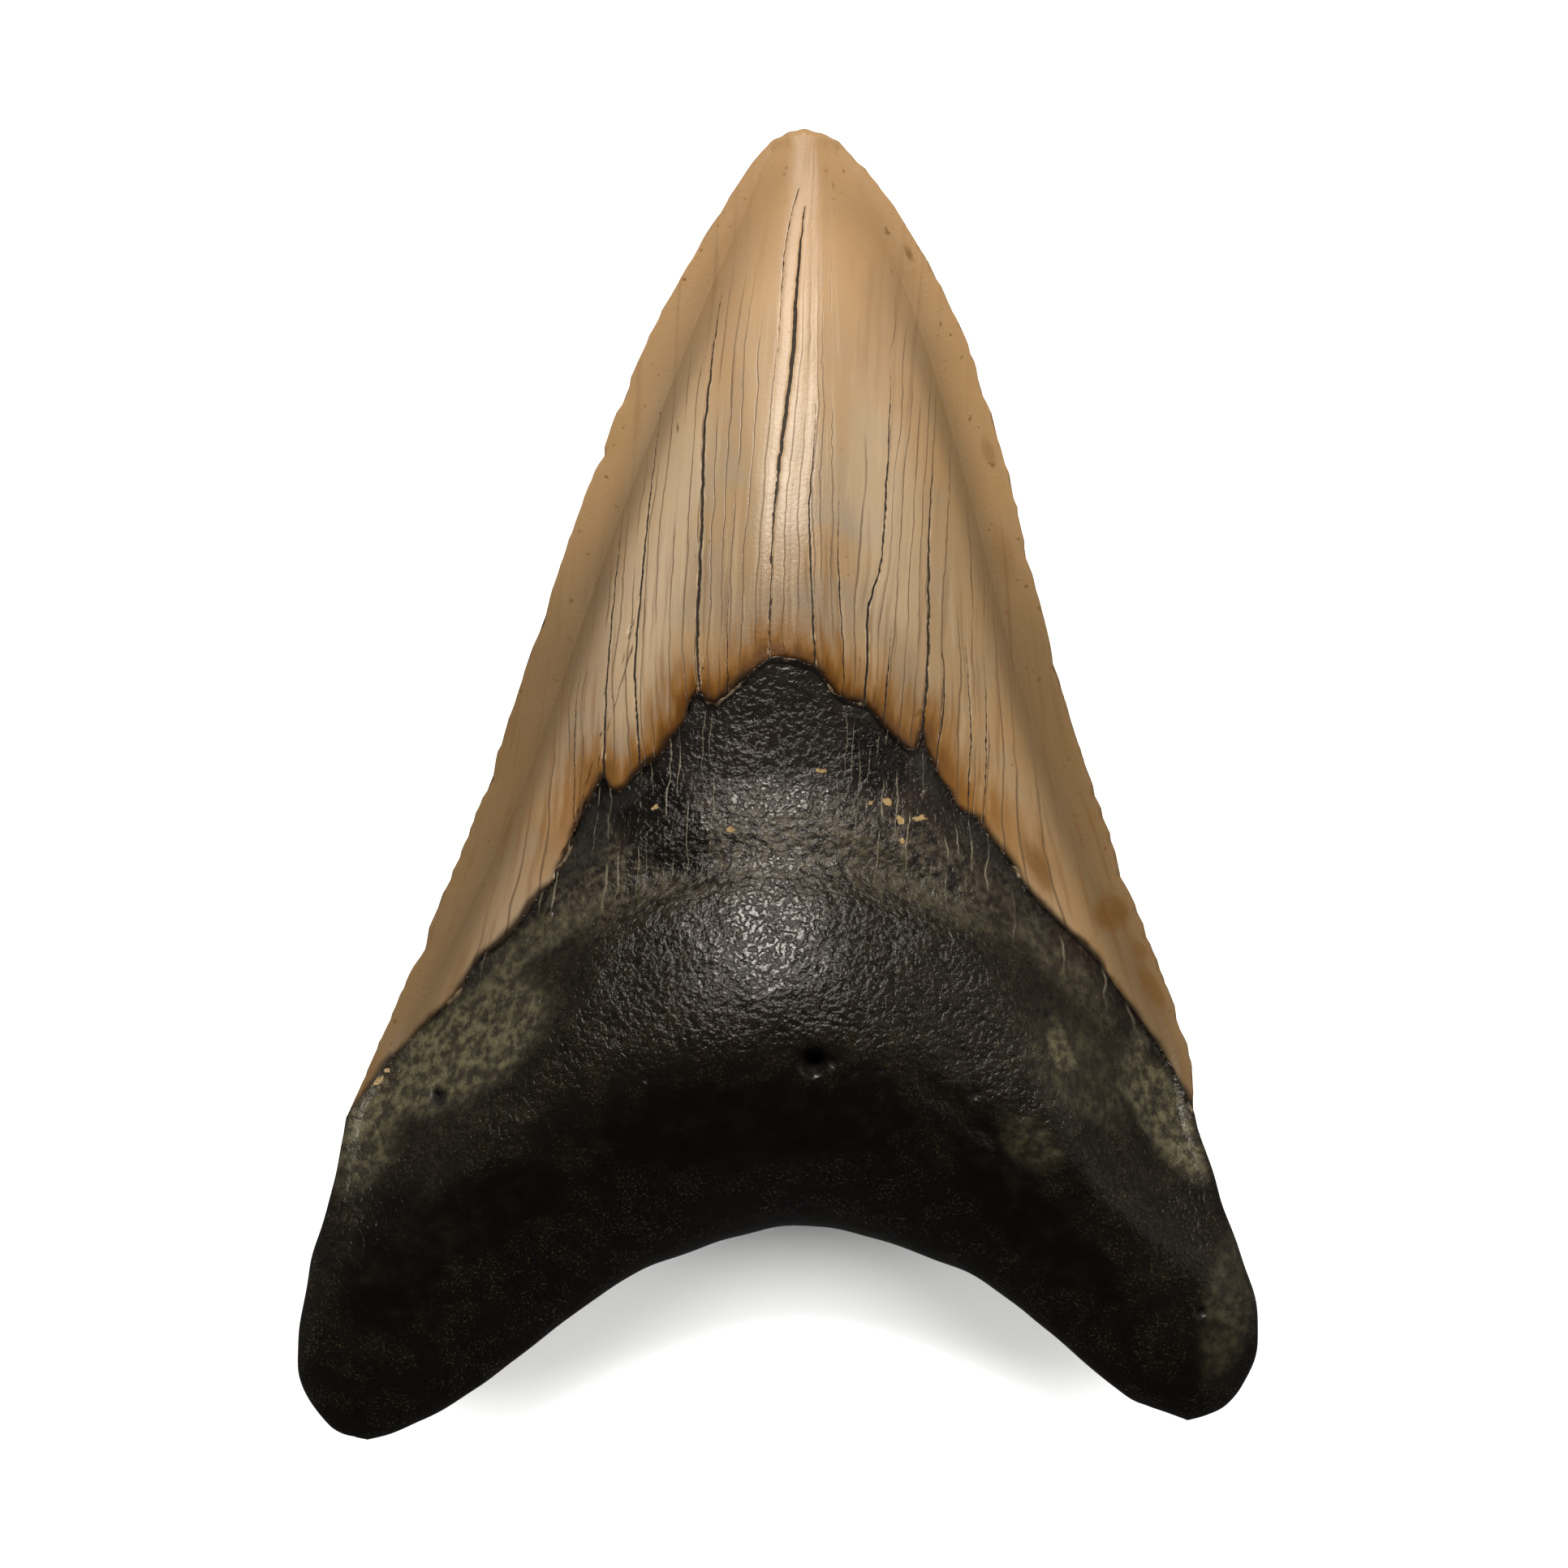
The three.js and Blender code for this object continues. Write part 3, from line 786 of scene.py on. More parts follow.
def stretched(low: Curve, high: Curve, left: Curve, right: Curve, u: Array, v: Array) -> Array:
    """Stretch a sheet between four curves, blended from its opposite sides.

    Args:
        low: The sheet's lower side, from left to right.
        high: Its upper side, from left to right.
        left: Its left side, upwards.
        right: Its right side, upwards.
        u: Shares across for the columns.
        v: Shares up for the rows.

    Returns:
        An array of rows, columns, and x with y.
    """
    across, up = u[None, :, None], v[:, None, None]
    low_left, low_right = low.at(np.array([0, 1]))
    high_left, high_right = high.at(np.array([0, 1]))
    between_rows = low.at(u)[None] * (1 - up) + high.at(u)[None] * up
    between_columns = left.at(v)[:, None] * (1 - across) + right.at(v)[:, None] * across
    low_corners = (low_left * (1 - across) + low_right * across) * (1 - up)
    high_corners = (high_left * (1 - across) + high_right * across) * up
    return between_rows + between_columns - low_corners - high_corners


def fitted(place: Array, inside: float) -> Array:
    """Centre the tooth in the frame's box, and bring it just inside where it would stand out.

    Args:
        place: Rows of x, y and z in metres.
        inside: Share of the box that it may fill.

    Returns:
        The rows moved.
    """
    low, high = (np.array(corner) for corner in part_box(NODE))
    own_low, own_high = place.min(axis=0), place.max(axis=0)
    share = np.minimum((high - low) * inside / (own_high - own_low), 1)
    centred = (place - (own_low + own_high) / 2) * share + (low + high) / 2
    centred[:, 2] = (place[:, 2] - own_low[2]) * share[2] + low[2] + (high[2] - low[2]) * (1 - inside) / 2
    return centred


def placed(name: str, data: bpy.types.ID) -> bpy.types.Object:
    """Put a new object of some data into the scene.

    Args:
        name: The object's name.
        data: Its mesh, light or camera.

    Returns:
        The object.
    """
    made = bpy.data.objects.new(name, data)
    bpy.context.scene.collection.objects.link(made)
    return made


@dataclass
class Tooth:
    """The whole tooth, root and crown in one piece."""

    form: ToothForm = ToothForm()
    wear: EdgeWear = EdgeWear()
    columns: int = 460
    root_rows: int = 150
    crown_rows: int = 130
    ledge_length: float = 0.008
    weld: float = 0.002
    triangles: int = 192_000
    inside: float = 0.9995

    def build(self) -> bpy.types.Object:
        """Make the tooth's mesh from two sheets that meet along its outline.

        Returns:
            The tooth, which is fine where it is rough and coarser where it is smooth.
        """
        rows = self.root_rows + self.crown_rows + 1
        sheets = bmesh.new()
        for _ in Face:
            bmesh.ops.create_grid(sheets, x_segments=self.columns, y_segments=rows, size=0.5)
        mesh = bpy.data.meshes.new("fossil_tooth")
        sheets.to_mesh(mesh)
        sheets.free()
        self.shape(mesh)
        self.join(mesh)
        tooth = placed("fossil_tooth", mesh)
        self.thin(tooth)
        return tooth

    def spots(self, face: Face) -> Spots:
        """Lay out a face's points between the arch, the enamel's lower edge and the tip.

        Args:
            face: Which face.

        Returns:
            The points, row by row from the arch, each row from left to right.
        """
        # Columns and rows lie closer together towards the sheets' sides
        even = np.linspace(0, 1, self.columns + 1)
        across = 0.5 * even + 0.25 * (1 - np.cos(math.pi * even))
        up_root = np.linspace(0, 1, self.root_rows + 1)
        up_root = (0.6 * up_root + 0.2 * (1 - np.cos(math.pi * up_root))) * (1 - self.ledge_length)
        up_crown = np.linspace(0, 1, self.crown_rows + 1) ** 1.2
        enamel_line = CHEVRON if face is Face.TONGUE else LIP_SIDE_ENAMEL_LINE
        root = stretched(ROOT_ARCH, enamel_line, LEFT_ROOT_SIDE, RIGHT_ROOT_SIDE, across, up_root)
        crown = stretched(enamel_line, TIP, LEFT_CROWN_EDGE, RIGHT_CROWN_EDGE, across, up_crown)
        place = np.vstack([root, crown]).reshape(-1, 2)
        in_root = np.concatenate([up_root, np.ones(self.crown_rows + 1)])
        is_crown = np.repeat(np.arange(len(in_root)) > self.root_rows, len(across))
        depth, inwards, walked = Outline().measure(place)
        margin = nearest_on(enamel_line.traced(), place)[1]
        return Spots(
            place[:, 0], place[:, 1], np.repeat(in_root, len(across)),
            is_crown, depth, inwards, walked, np.where(is_crown, margin, -margin),
        )

    def shape(self, mesh: bpy.types.Mesh) -> None:
        """Move both sheets' vertices to the tooth's faces, and note on each what its finish needs.

        Args:
            mesh: Two flat grids, the tongue side's first.
        """
        places, marks = [], []
        for face in Face:
            spots = self.spots(face)
            flow = read_flow(spots.x, spots.y)
            tongue = face is Face.TONGUE
            height = self.form.tongue_side(spots, flow) if tongue else self.form.lip_side(spots)
            worn = self.wear.read(spots)
            moved = spots.inwards * worn[:, None]
            places.append(np.column_stack([spots.x + moved[:, 0], spots.y + moved[:, 1], height]))
            marks.append(self.marks(spots, flow, tongue))
        place = fitted(np.vstack(places) * MM, self.inside)
        mesh.vertices.foreach_set("co", place.astype(np.float32).ravel())
        for mark in Mark:
            values = np.concatenate([face_marks[mark] for face_marks in marks]).astype(np.float32)
            mesh.attributes.new(mark.value, "FLOAT", "POINT").data.foreach_set("value", values)

    def marks(self, spots: Spots, flow: Flow, tongue: bool) -> dict[Mark, Array]:
        """Say what each point's finish depends on.

        Args:
            spots: A face's points.
            flow: How the cracks run past them.
            tongue: Whether this is the side with the drawn marks.

        Returns:
            Each mark's values.
        """
        x, y = spots.x, spots.y
        form = self.form
        fold = form.flange_width.read(y) + form.fold_inside_flange
        drawn = {mark: sum(shape.read(x, y) for shape in shapes) for mark, shapes in DRAWN.items()}
        drawn[Mark.CHIP] = drawn[Mark.CHIP] * smoothstep(spots.margin, 0.1, -0.1)
        drawn |= {
            Mark.MIDDLE: bell(x, 0, form.middle_reach), Mark.ABOVE: form.above_valley(x, y),
            Mark.FOLD_SHADE: bell(spots.depth, fold, form.fold_reach), Mark.HALF_CRACK: flow.width / 2,
        }
        marks = {mark: values if tongue else np.zeros_like(x) for mark, values in drawn.items()}
        marks |= {Mark.STRAIGHT: flow.straight, Mark.COUNT: flow.count, Mark.GAP: flow.gap}
        return marks | {Mark.ALONG: y, Mark.MARGIN: spots.margin, Mark.RIM: spots.depth}

    def join(self, mesh: bpy.types.Mesh) -> None:
        """Turn the lower sheet over and close the two along the outline.

        Args:
            mesh: The two shaped sheets.
        """
        shell = bmesh.new()
        shell.from_mesh(mesh)
        shell.faces.ensure_lookup_table()
        half = len(shell.faces) // 2
        corners = [0, self.columns - 1, half - self.columns, half - 1]
        corner_faces = [shell.faces[first + corner] for first in (0, half) for corner in corners]
        bmesh.ops.reverse_faces(shell, faces=shell.faces[half:])
        for face in corner_faces:
            lone = [vert for vert in face.verts if len(vert.link_faces) == 1]
            inner = [vert for vert in face.verts if not vert.is_boundary]
            bmesh.ops.connect_verts(shell, verts=lone + inner)
        bmesh.ops.remove_doubles(shell, verts=shell.verts, dist=self.weld * MM)
        bmesh.ops.triangulate(shell, faces=shell.faces)
        shell.to_mesh(mesh)
        shell.free()

    def thin(self, tooth: bpy.types.Object) -> None:
        """Leave out the triangles that the shape doesn't need.

        Args:
            tooth: The closed tooth.
        """
        thinner = tooth.modifiers.new("thinner", "DECIMATE")
        thinner.ratio = self.triangles / len(tooth.data.polygons)
        thinned = tooth.evaluated_get(bpy.context.evaluated_depsgraph_get())
        fine = tooth.data
        tooth.data = bpy.data.meshes.new_from_object(thinned)
        tooth.modifiers.remove(thinner)
        bpy.data.meshes.remove(fine)
        tooth.data.name = tooth.name
        tooth.data.shade_smooth()

    def dress(self, tooth: bpy.types.Object) -> None:
        """Give the tooth its finish and its place in the frame.

        Args:
            tooth: The built tooth.
        """
        tooth.data.materials.clear()
        tooth.data.materials.append(fossil_material())
        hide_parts(NODE)
        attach(tooth, BODY)


# Tools for finishes

# Sockets of a Mix node that mixes colours, and of one that mixes numbers
MIX_LOWER_COLOUR = 6
MIX_UPPER_COLOUR = 7
MIX_COLOUR = 2
MIX_LOWER = 2
MIX_UPPER = 3


def hex_to_linear(colour: str) -> tuple[float, float, float, float]:
    """Turn an sRGB hex colour to linear.

    Args:
        colour: Such as "#a08060".

    Returns:
        Red, green, blue and a full alpha.
    """
    parts = [int(colour[i : i + 2], 16) / 255 for i in (1, 3, 5)]
    linear = [p / 12.92 if p <= 0.04045 else ((p + 0.055) / 1.055) ** 2.4 for p in parts]
    return (*linear, 1)


@dataclass(frozen=True)
class Grain:
    """Noise around 0.5, with lumps of a real size in millimetres.

    Where along is given, the lumps run with the cracks and are that long.
    """

    pitch: float
    detail: float = 2.0
    along: float = 0.0
    seed: float = 0.0

    def make(self, painter: "Painter") -> Socket:
        """Draw the noise.

        Args:
            painter: The material's painter.

        Returns:
            The socket with its values.
        """
        place, scale = painter.place, (1 / (self.pitch * MM),) * 3
        if self.along:
            with_cracks = {"X": painter.read(Mark.STRAIGHT), "Y": painter.read(Mark.ALONG)}
            place = painter.add("ShaderNodeCombineXYZ", with_cracks)[0]
            scale = (1 / self.pitch, 1 / self.along, 0)
        in_lumps = {"Vector": place, "Location": (self.seed,) * 3, "Scale": scale}
        lumps = painter.add("ShaderNodeMapping", in_lumps)[0]
        noise = {"Vector": lumps, "Scale": 1, "Detail": self.detail}
        return painter.add("ShaderNodeTexNoise", noise)[0]


@dataclass(frozen=True)
class FineLines:
    """The distance in millimetres to thin lines that run with the cracks, a gap apart on average."""

    gap: float
    sway: Grain
    swings: float

    def make(self, painter: "Painter") -> Socket:
        """Draw the lines.

        Args:
            painter: The material's painter.

        Returns:
            The socket with its values.
        """
        swayed = {0: painter.read(self.sway), 1: self.swings, 2: painter.read(Mark.STRAIGHT)}
        across = painter.add("ShaderNodeMath", swayed, operation="MULTIPLY_ADD")[0]
        cells = {"voronoi_dimensions": "1D", "feature": "DISTANCE_TO_EDGE"}
        lines = painter.add("ShaderNodeTexVoronoi", {"W": across, "Scale": 1 / self.gap}, **cells)
        in_mm = {0: lines["Distance"], 1: self.gap}
        return painter.add("ShaderNodeMath", in_mm, operation="MULTIPLY")[0]


@dataclass(frozen=True)
class InsideCrack:
    """How far inside an open crack's walls each place is, in millimetres, and below 0 outside."""

    def make(self, painter: "Painter") -> Socket:
        """Measure from the nearest crack's line, where the count of cracks is a whole number.

        Args:
            painter: The material's painter.

        Returns:
            The socket with its values.
        """
        from_line = {0: painter.read(Mark.COUNT), 1: 0.5}
        share = painter.add("ShaderNodeMath", from_line, operation="PINGPONG")[0]
        in_mm = {0: share, 1: painter.read(Mark.GAP)}
        off_line = painter.add("ShaderNodeMath", in_mm, operation="MULTIPLY")[0]
        within = {0: painter.read(Mark.HALF_CRACK), 1: off_line}
        return painter.add("ShaderNodeMath", within, operation="SUBTRACT")[0]


Source = Mark | Grain | FineLines | InsideCrack


@dataclass(frozen=True)
class Ramp:
    """A mask that rises from 0 at low to 1 at high, and falls where low is the higher one.

    Where ragged is given, that noise times by is added to what the mask reads.
    """

    of: Source
    low: float
    high: float
    ragged: Grain | None = None
    by: float = 0.0

    def make(self, painter: "Painter") -> Socket:
        """Make the mask.

        Args:
            painter: The material's painter.

        Returns:
            The socket with its values.
        """
        value = painter.read(self.of)
        if self.ragged:
            added = {0: painter.read(self.ragged), 1: self.by, 2: value}
            value = painter.add("ShaderNodeMath", added, operation="MULTIPLY_ADD")[0]
        ends = {"Value": value, "From Min": self.low, "From Max": self.high}
        return painter.add("ShaderNodeMapRange", ends, interpolation_type="SMOOTHSTEP")[0]


@dataclass(frozen=True)
class Layer:
    """Paint that shows where all its ramps are up, with what it adds to roughness and to the height in mm."""

    colour: str
    most: float
    where: tuple[Ramp, ...]
    roughness: float = 0.0
    relief: float = 0.0


@dataclass(frozen=True)
class Finish:
    """A ground, the noise that roughens and raises it, and the layers painted over it, lowest first."""

    ground: str
    roughness: float
    uneven_gloss: tuple[Grain, float]
    relief: tuple[tuple[Grain, float], ...]
    layers: tuple[Layer, ...]


@dataclass(frozen=True)
class Look:
    """What a finish gives the shader: its colour, its roughness and its height in millimetres."""

    colour: Socket
    roughness: Socket
    relief: Socket


class Painter:
    """Makes the nodes of one material, each thing that its finishes read only once."""

    def __init__(self, tree: Tree) -> None:
        """Start on a material.

        Args:
            tree: The material's nodes.
        """
        self.tree = tree
        self.place = self.add("ShaderNodeTexCoord")["Object"]
        self.made: dict[Source | Ramp, Socket] = {}

    def add(self, kind: str, inputs: dict[str | int, object] | None = None, **settings: object) -> Outputs:
        """Add a node, set it and link it.

        Args:
            kind: The node's type.
            inputs: For an input's name or number, its value or the socket that feeds it.
            settings: The node's own settings.

        Returns:
            The node's outputs.
        """
        node = self.tree.nodes.new(kind)
        for name, value in settings.items():
            setattr(node, name, value)
        for name, value in (inputs or {}).items():
            if isinstance(value, Socket):
                self.tree.links.new(value, node.inputs[name])
            else:
                node.inputs[name].default_value = value
        return node.outputs

    def read(self, source: Source | Ramp) -> Socket:
        """Give the socket of a source or a ramp, which is made the first time that it is read.

        Args:
            source: What a layer reads.

        Returns:
            Its socket.
        """
        if source not in self.made:
            if isinstance(source, Mark):
                self.made[source] = self.add("ShaderNodeAttribute", attribute_name=source.value)["Fac"]
            else:
                self.made[source] = source.make(self)
        return self.made[source]

    def mask(self, layer: Layer) -> Socket | float:
        """Multiply a layer's ramps.

        Args:
            layer: The layer.

        Returns:
            How much of it shows.
        """
        shown = layer.most
        for ramp in layer.where:
            shown = self.add("ShaderNodeMath", {0: self.read(ramp), 1: shown}, operation="MULTIPLY")[0]
        return shown

    def look(self, finish: Finish) -> Look:
        """Paint a finish.

        Args:
            finish: Its ground and its layers.

        Returns:
            What the shader gets.
        """
        colour = hex_to_linear(finish.ground)
        gloss_grain, gloss_swing = finish.uneven_gloss
        swung = {0: self.read(gloss_grain), 1: gloss_swing, 2: finish.roughness - gloss_swing / 2}
        roughness = self.add("ShaderNodeMath", swung, operation="MULTIPLY_ADD")[0]
        raised = [(self.read(grain), mm) for grain, mm in finish.relief]
        for layer in finish.layers:
            shown = self.mask(layer)
            mixed = {0: shown, MIX_LOWER_COLOUR: colour, MIX_UPPER_COLOUR: hex_to_linear(layer.colour)}
            colour = self.add("ShaderNodeMix", mixed, data_type="RGBA")[MIX_COLOUR]
            if layer.roughness:
                added = {0: shown, 1: layer.roughness, 2: roughness}
                roughness = self.add("ShaderNodeMath", added, operation="MULTIPLY_ADD")[0]
            if layer.relief:
                raised.append((shown, layer.relief))
        relief = 0
        for height, mm in raised:
            added = {0: height, 1: mm, 2: relief}
            relief = self.add("ShaderNodeMath", added, operation="MULTIPLY_ADD")[0]
        return Look(colour, roughness, relief)


# What both finishes read

STREAKS = Grain(0.8, 3, along=28)
THIN_STREAKS = Grain(0.45, 3, along=12, seed=83)
RUST_STREAKS = Grain(0.7, 4, along=5, seed=79)
MOTTLE = Grain(9, 3)
PATCHES = Grain(5, 4, seed=3)
SPECKS = Grain(0.9, 1, seed=7)
CLOUDS = Grain(7, 3, seed=19)
BLOTS = Grain(2.2, 5, seed=23)
HAIRLINES = FineLines(1.2, Grain(4, 1, along=9, seed=11), 1.1)
VEINS = FineLines(0.95, Grain(2.4, 2, along=5, seed=41), 1.2)
IN_SPOTS = Ramp(Grain(1, 6, seed=73), 0.36, 0.7)
ON_DENTINE = Ramp(Mark.ABOVE, -1.5, 2.5)
PITS = Grain(0.6, 5, seed=29)

# Fossil shark enameloid, polished by wear in sand. It gives the eye a hard, waxy tan with a soft sheen
# on the ridge, which is partly painted as paler colour along the ridge and towards the tip, painted shade
# on the steep lower flanks and along each flange's crease, fine brown drying lines that run to the tip,
# rust above the torn lower edge, and open cracks packed with dark silt between worn pale lips.
ENAMELOID = Finish(
    ground="#9c8568",
    roughness=0.32,
    uneven_gloss=(PATCHES, 0.12),
    relief=((STREAKS, 0.03), (Grain(0.35, 3, seed=5), 0.024)),
    layers=(
        Layer("#a8865c", 0.7, (Ramp(MOTTLE, 0.38, 0.66),)),
        Layer("#8f8370", 0.5, (Ramp(PATCHES, 0.48, 0.7),)),
        # Paler enamel beside the ridge, and a painted sheen along the ridge
        Layer("#b79d7c", 0.75, (Ramp(Mark.PALE, 0, 1),)),
        Layer("#7b5f43", 0.35, (Ramp(Mark.MIDDLE, 0.2, 0.9), Ramp(Mark.ALONG, 28, 16))),
        # Painted light: paler towards the tip, for the ridge's sheen and the brighter light there; the added
        # roughness spreads the sheen
        Layer("#b98f62", 0.8, (Ramp(Mark.ALONG, 24, 58),), roughness=0.15),
        Layer("#9a7440", 0.4, (Ramp(Mark.STRAIGHT, 7, 16),)),
        # Browner towards the edges: partly the enamel's own ochre tone, partly painted shade on the steep
        # flanks
        Layer("#8a6a42", 0.6, (Ramp(Mark.RIM, 9, 2),)),
        # Painted shade: the lower flanks are darker near the edges, where they are steep
        Layer("#6f5636", 0.65, (Ramp(Mark.RIM, 7, 2.5), Ramp(Mark.ALONG, 36, 8))),
        Layer("#a88358", 0.6, (Ramp(Mark.RIM, 3.4, 1.4), Ramp(Mark.ALONG, 12, 30))),
        # Painted shade: a darker line along the crease between each flange and the ridge, fading towards the
        # tip
        Layer("#66543a", 0.5, (Ramp(Mark.FOLD_SHADE, 0, 1), Ramp(Mark.ALONG, 50, 34))),
        Layer("#5d4126", 0.25, (Ramp(STREAKS, 0.55, 0.75),)),
        Layer("#6e4a26", 0.4, (Ramp(THIN_STREAKS, 0.52, 0.66), Ramp(Mark.MARGIN, 22, 5))),
        Layer("#c2a987", 0.25, (Ramp(THIN_STREAKS, 0.44, 0.34), Ramp(Mark.RIM, 5, 10))),
        Layer("#7d4f0c", 0.9, (
            Ramp(Mark.MARGIN, 8, 3.6, ragged=RUST_STREAKS, by=6), Ramp(Mark.ALONG, -14, 0),
        )),
        Layer("#4a2a0a", 0.75, (
            Ramp(Mark.MARGIN, 3.4, 1.8, ragged=RUST_STREAKS, by=3), Ramp(Mark.ALONG, -6, 6),
        )),
        Layer("#6a4719", 0.85, (Ramp(Mark.BLOTCH, 0, 1), Ramp(PATCHES, 0.3, 0.5))),
        Layer("#6a4719", 0.7, (Ramp(SPECKS, 0.70, 0.76), Ramp(Mark.RIM, 6, 1)), relief=-0.01),
        Layer("#6a4719", 0.5, (Ramp(Grain(0.6, 1, seed=89), 0.76, 0.8),), relief=-0.01),
        Layer("#55402a", 0.7, (
            Ramp(HAIRLINES, 0.09, 0.02), Ramp(Grain(1.6, 1, along=16, seed=13), 0.38, 0.48),
            Ramp(Mark.ALONG, 54, 34), Ramp(Mark.RIM, 3.5, 6),
        ), relief=-0.04),
        Layer("#1a110a", 0.9, (Ramp(Mark.MARGIN, 1.5, 0.8, ragged=PATCHES, by=1.6),)),
        Layer("#c9ab84", 0.6, (
            Ramp(InsideCrack(), -0.16, -0.02), Ramp(Grain(0.5, 2, along=1.6, seed=17), 0.54, 0.64),
            Ramp(Mark.HALF_CRACK, 0.05, 0.15),
        )),
        Layer("#17120d", 0.95, (
            Ramp(InsideCrack(), 0.08, 0.12, ragged=Grain(0.45, 2, seed=59), by=0.1),
            Ramp(Mark.HALF_CRACK, 0.015, 0.04),
        ), roughness=0.4, relief=-0.2),
    ),
)

# Shark root and bare dentine turned black by phosphate. It gives the eye near-black leathery bone that
# glints on its bulge, a grained brown-black band of dentine under the enamel with pale mineral veins and
# ochre flecks, a dull grey crust along the valley, and olive crusts at the shoulders. Painted shade
# darkens the pits of the grain and the nutrient holes, the olive at the left shoulder and the right
# lobe's outer flank is partly painted sheen, and the tan flecks are partly dust and partly painted glints.
MINERALISED_ROOT = Finish(
    ground="#1d1812",
    roughness=0.2,
    uneven_gloss=(BLOTS, 0.15),
    relief=((PITS, 0.07), (BLOTS, 0.15), (Grain(0.3, 2, seed=97), 0.03)),
    layers=(
        Layer("#12100c", 0.7, (Ramp(CLOUDS, 0.4, 0.7),)),
        # Darker below the bulge, towards the arch
        Layer("#080705", 0.78, (Ramp(Mark.ABOVE, -13, -20),)),
        # Painted shade: the pits of the grain are darker from the bulge up over the dentine, and sunk by the
        # relief
        Layer("#070504", 0.5, (
            Ramp(PITS, 0.6, 0.38), Ramp(Mark.ABOVE, -22, -12), Ramp(Mark.ABOVE, 26, 8),
        ), relief=-0.1),
        # Tan flecks, partly dust and partly painted glints
        Layer("#5a4a30", 0.5, (Ramp(Grain(0.24, 3, seed=37), 0.56, 0.7), Ramp(BLOTS, 0.36, 0.6))),
        Layer("#1e1917", 0.9, (ON_DENTINE,), roughness=-0.05),
        Layer("#2a1f19", 0.7, (ON_DENTINE, Ramp(CLOUDS, 0.5, 0.64))),
        Layer("#1f1b17", 0.8, (ON_DENTINE, Ramp(Mark.MIDDLE, 0.3, 0.9))),
        Layer("#5e5340", 0.68, (
            Ramp(Mark.ABOVE, -4.5, 2), Ramp(Mark.ABOVE, 9, 2.5), Ramp(Grain(0.8, 6, seed=71), 0.38, 0.66),
            Ramp(Mark.STRAIGHT, -28, -12), Ramp(Mark.STRAIGHT, 28, 12),
        ), roughness=0.3),
        # Near-black patches, glossier than the rest of the root
        Layer("#060504", 0.9, (Ramp(Mark.BLACK, 0, 1),), roughness=-0.06),
        # Olive crusts, which on the left shoulder and the right lobe's outer flank are partly painted sheen
        Layer("#3d362b", 0.6, (Ramp(Mark.OLIVE, 0, 0.9, ragged=BLOTS, by=0.3),), roughness=0.1),
        Layer("#70684a", 0.65, (Ramp(Mark.OLIVE, 0.2, 1.2, ragged=BLOTS, by=0.5), IN_SPOTS), roughness=0.1),
        Layer("#857a64", 0.7, (
            Ramp(VEINS, 0.07, 0.02), Ramp(Grain(1.2, 1, along=6, seed=43), 0.48, 0.58), ON_DENTINE,
            Ramp(Mark.MIDDLE, 0.8, 0.4),
        ), relief=0.03),
        Layer("#22211c", 0.65, (Ramp(Mark.CHIP, -0.6, 0.2, ragged=BLOTS, by=-1.4),), roughness=0.15),
        Layer("#ab8d5e", 0.85, (
            Ramp(Mark.OCHRE, 0.95, 1.2, ragged=Grain(0.35, 3, seed=61), by=1),
        ), relief=0.08),
        Layer("#a48c6c", 0.7, (Ramp(Mark.MARGIN, -0.4, -0.1), Ramp(Grain(2.6, 2, seed=47), 0.6, 0.66))),
        # Painted shade: the nutrient holes are near-black, and matte
        Layer("#040303", 0.95, (Ramp(Mark.HOLE, 0, 0.8),), roughness=0.6),
    ),
)


def fossil_material() -> bpy.types.Material:
    """Join the enamel's and the root's finishes along the enamel's torn edge.

    Returns:
        The tooth's material.
    """
    material = bpy.data.materials.new("fossil_enameloid_and_root")
    material.use_nodes = True
    tree = material.node_tree
    tree.nodes.clear()
    painter = Painter(tree)
    root, enamel = painter.look(MINERALISED_ROOT), painter.look(ENAMELOID)
    on_enamel = painter.read(Ramp(Mark.MARGIN, 0.2, 0.3, ragged=Grain(0.8, 2, seed=53), by=0.5))
    colours = {0: on_enamel, MIX_LOWER_COLOUR: root.colour, MIX_UPPER_COLOUR: enamel.colour}
    colour = painter.add("ShaderNodeMix", colours, data_type="RGBA")[MIX_COLOUR]
    rough = {0: on_enamel, MIX_LOWER: root.roughness, MIX_UPPER: enamel.roughness}
    roughness = painter.add("ShaderNodeMix", rough)[0]
    relief = painter.add("ShaderNodeMix", {0: on_enamel, MIX_LOWER: root.relief, MIX_UPPER: enamel.relief})
    bump = painter.add("ShaderNodeBump", {"Height": relief[0], "Distance": MM, "Strength": 1})
    surface = {
        "Base Color": colour, "Roughness": roughness, "Normal": bump[0],
        "Specular IOR Level": 0.35, "Specular Tint": hex_to_linear("#fff6ec"),
    }
    shader = painter.add("ShaderNodeBsdfPrincipled", surface)
    painter.add("ShaderNodeOutputMaterial", {"Surface": shader[0]})
    return material


@dataclass(frozen=True)
class SeamlessPaper:
    """White background paper: matte, with nothing on it to see."""

    colour: str = "#f4f4f2"
    roughness: float = 0.95

    def material(self) -> bpy.types.Material:
        """Make the paper's material."""
        material = bpy.data.materials.new("seamless_paper")
        material.use_nodes = True
        shader = material.node_tree.nodes["Principled BSDF"]
        shader.inputs["Base Color"].default_value = hex_to_linear(self.colour)
        shader.inputs["Roughness"].default_value = self.roughness
        return material


# The studio


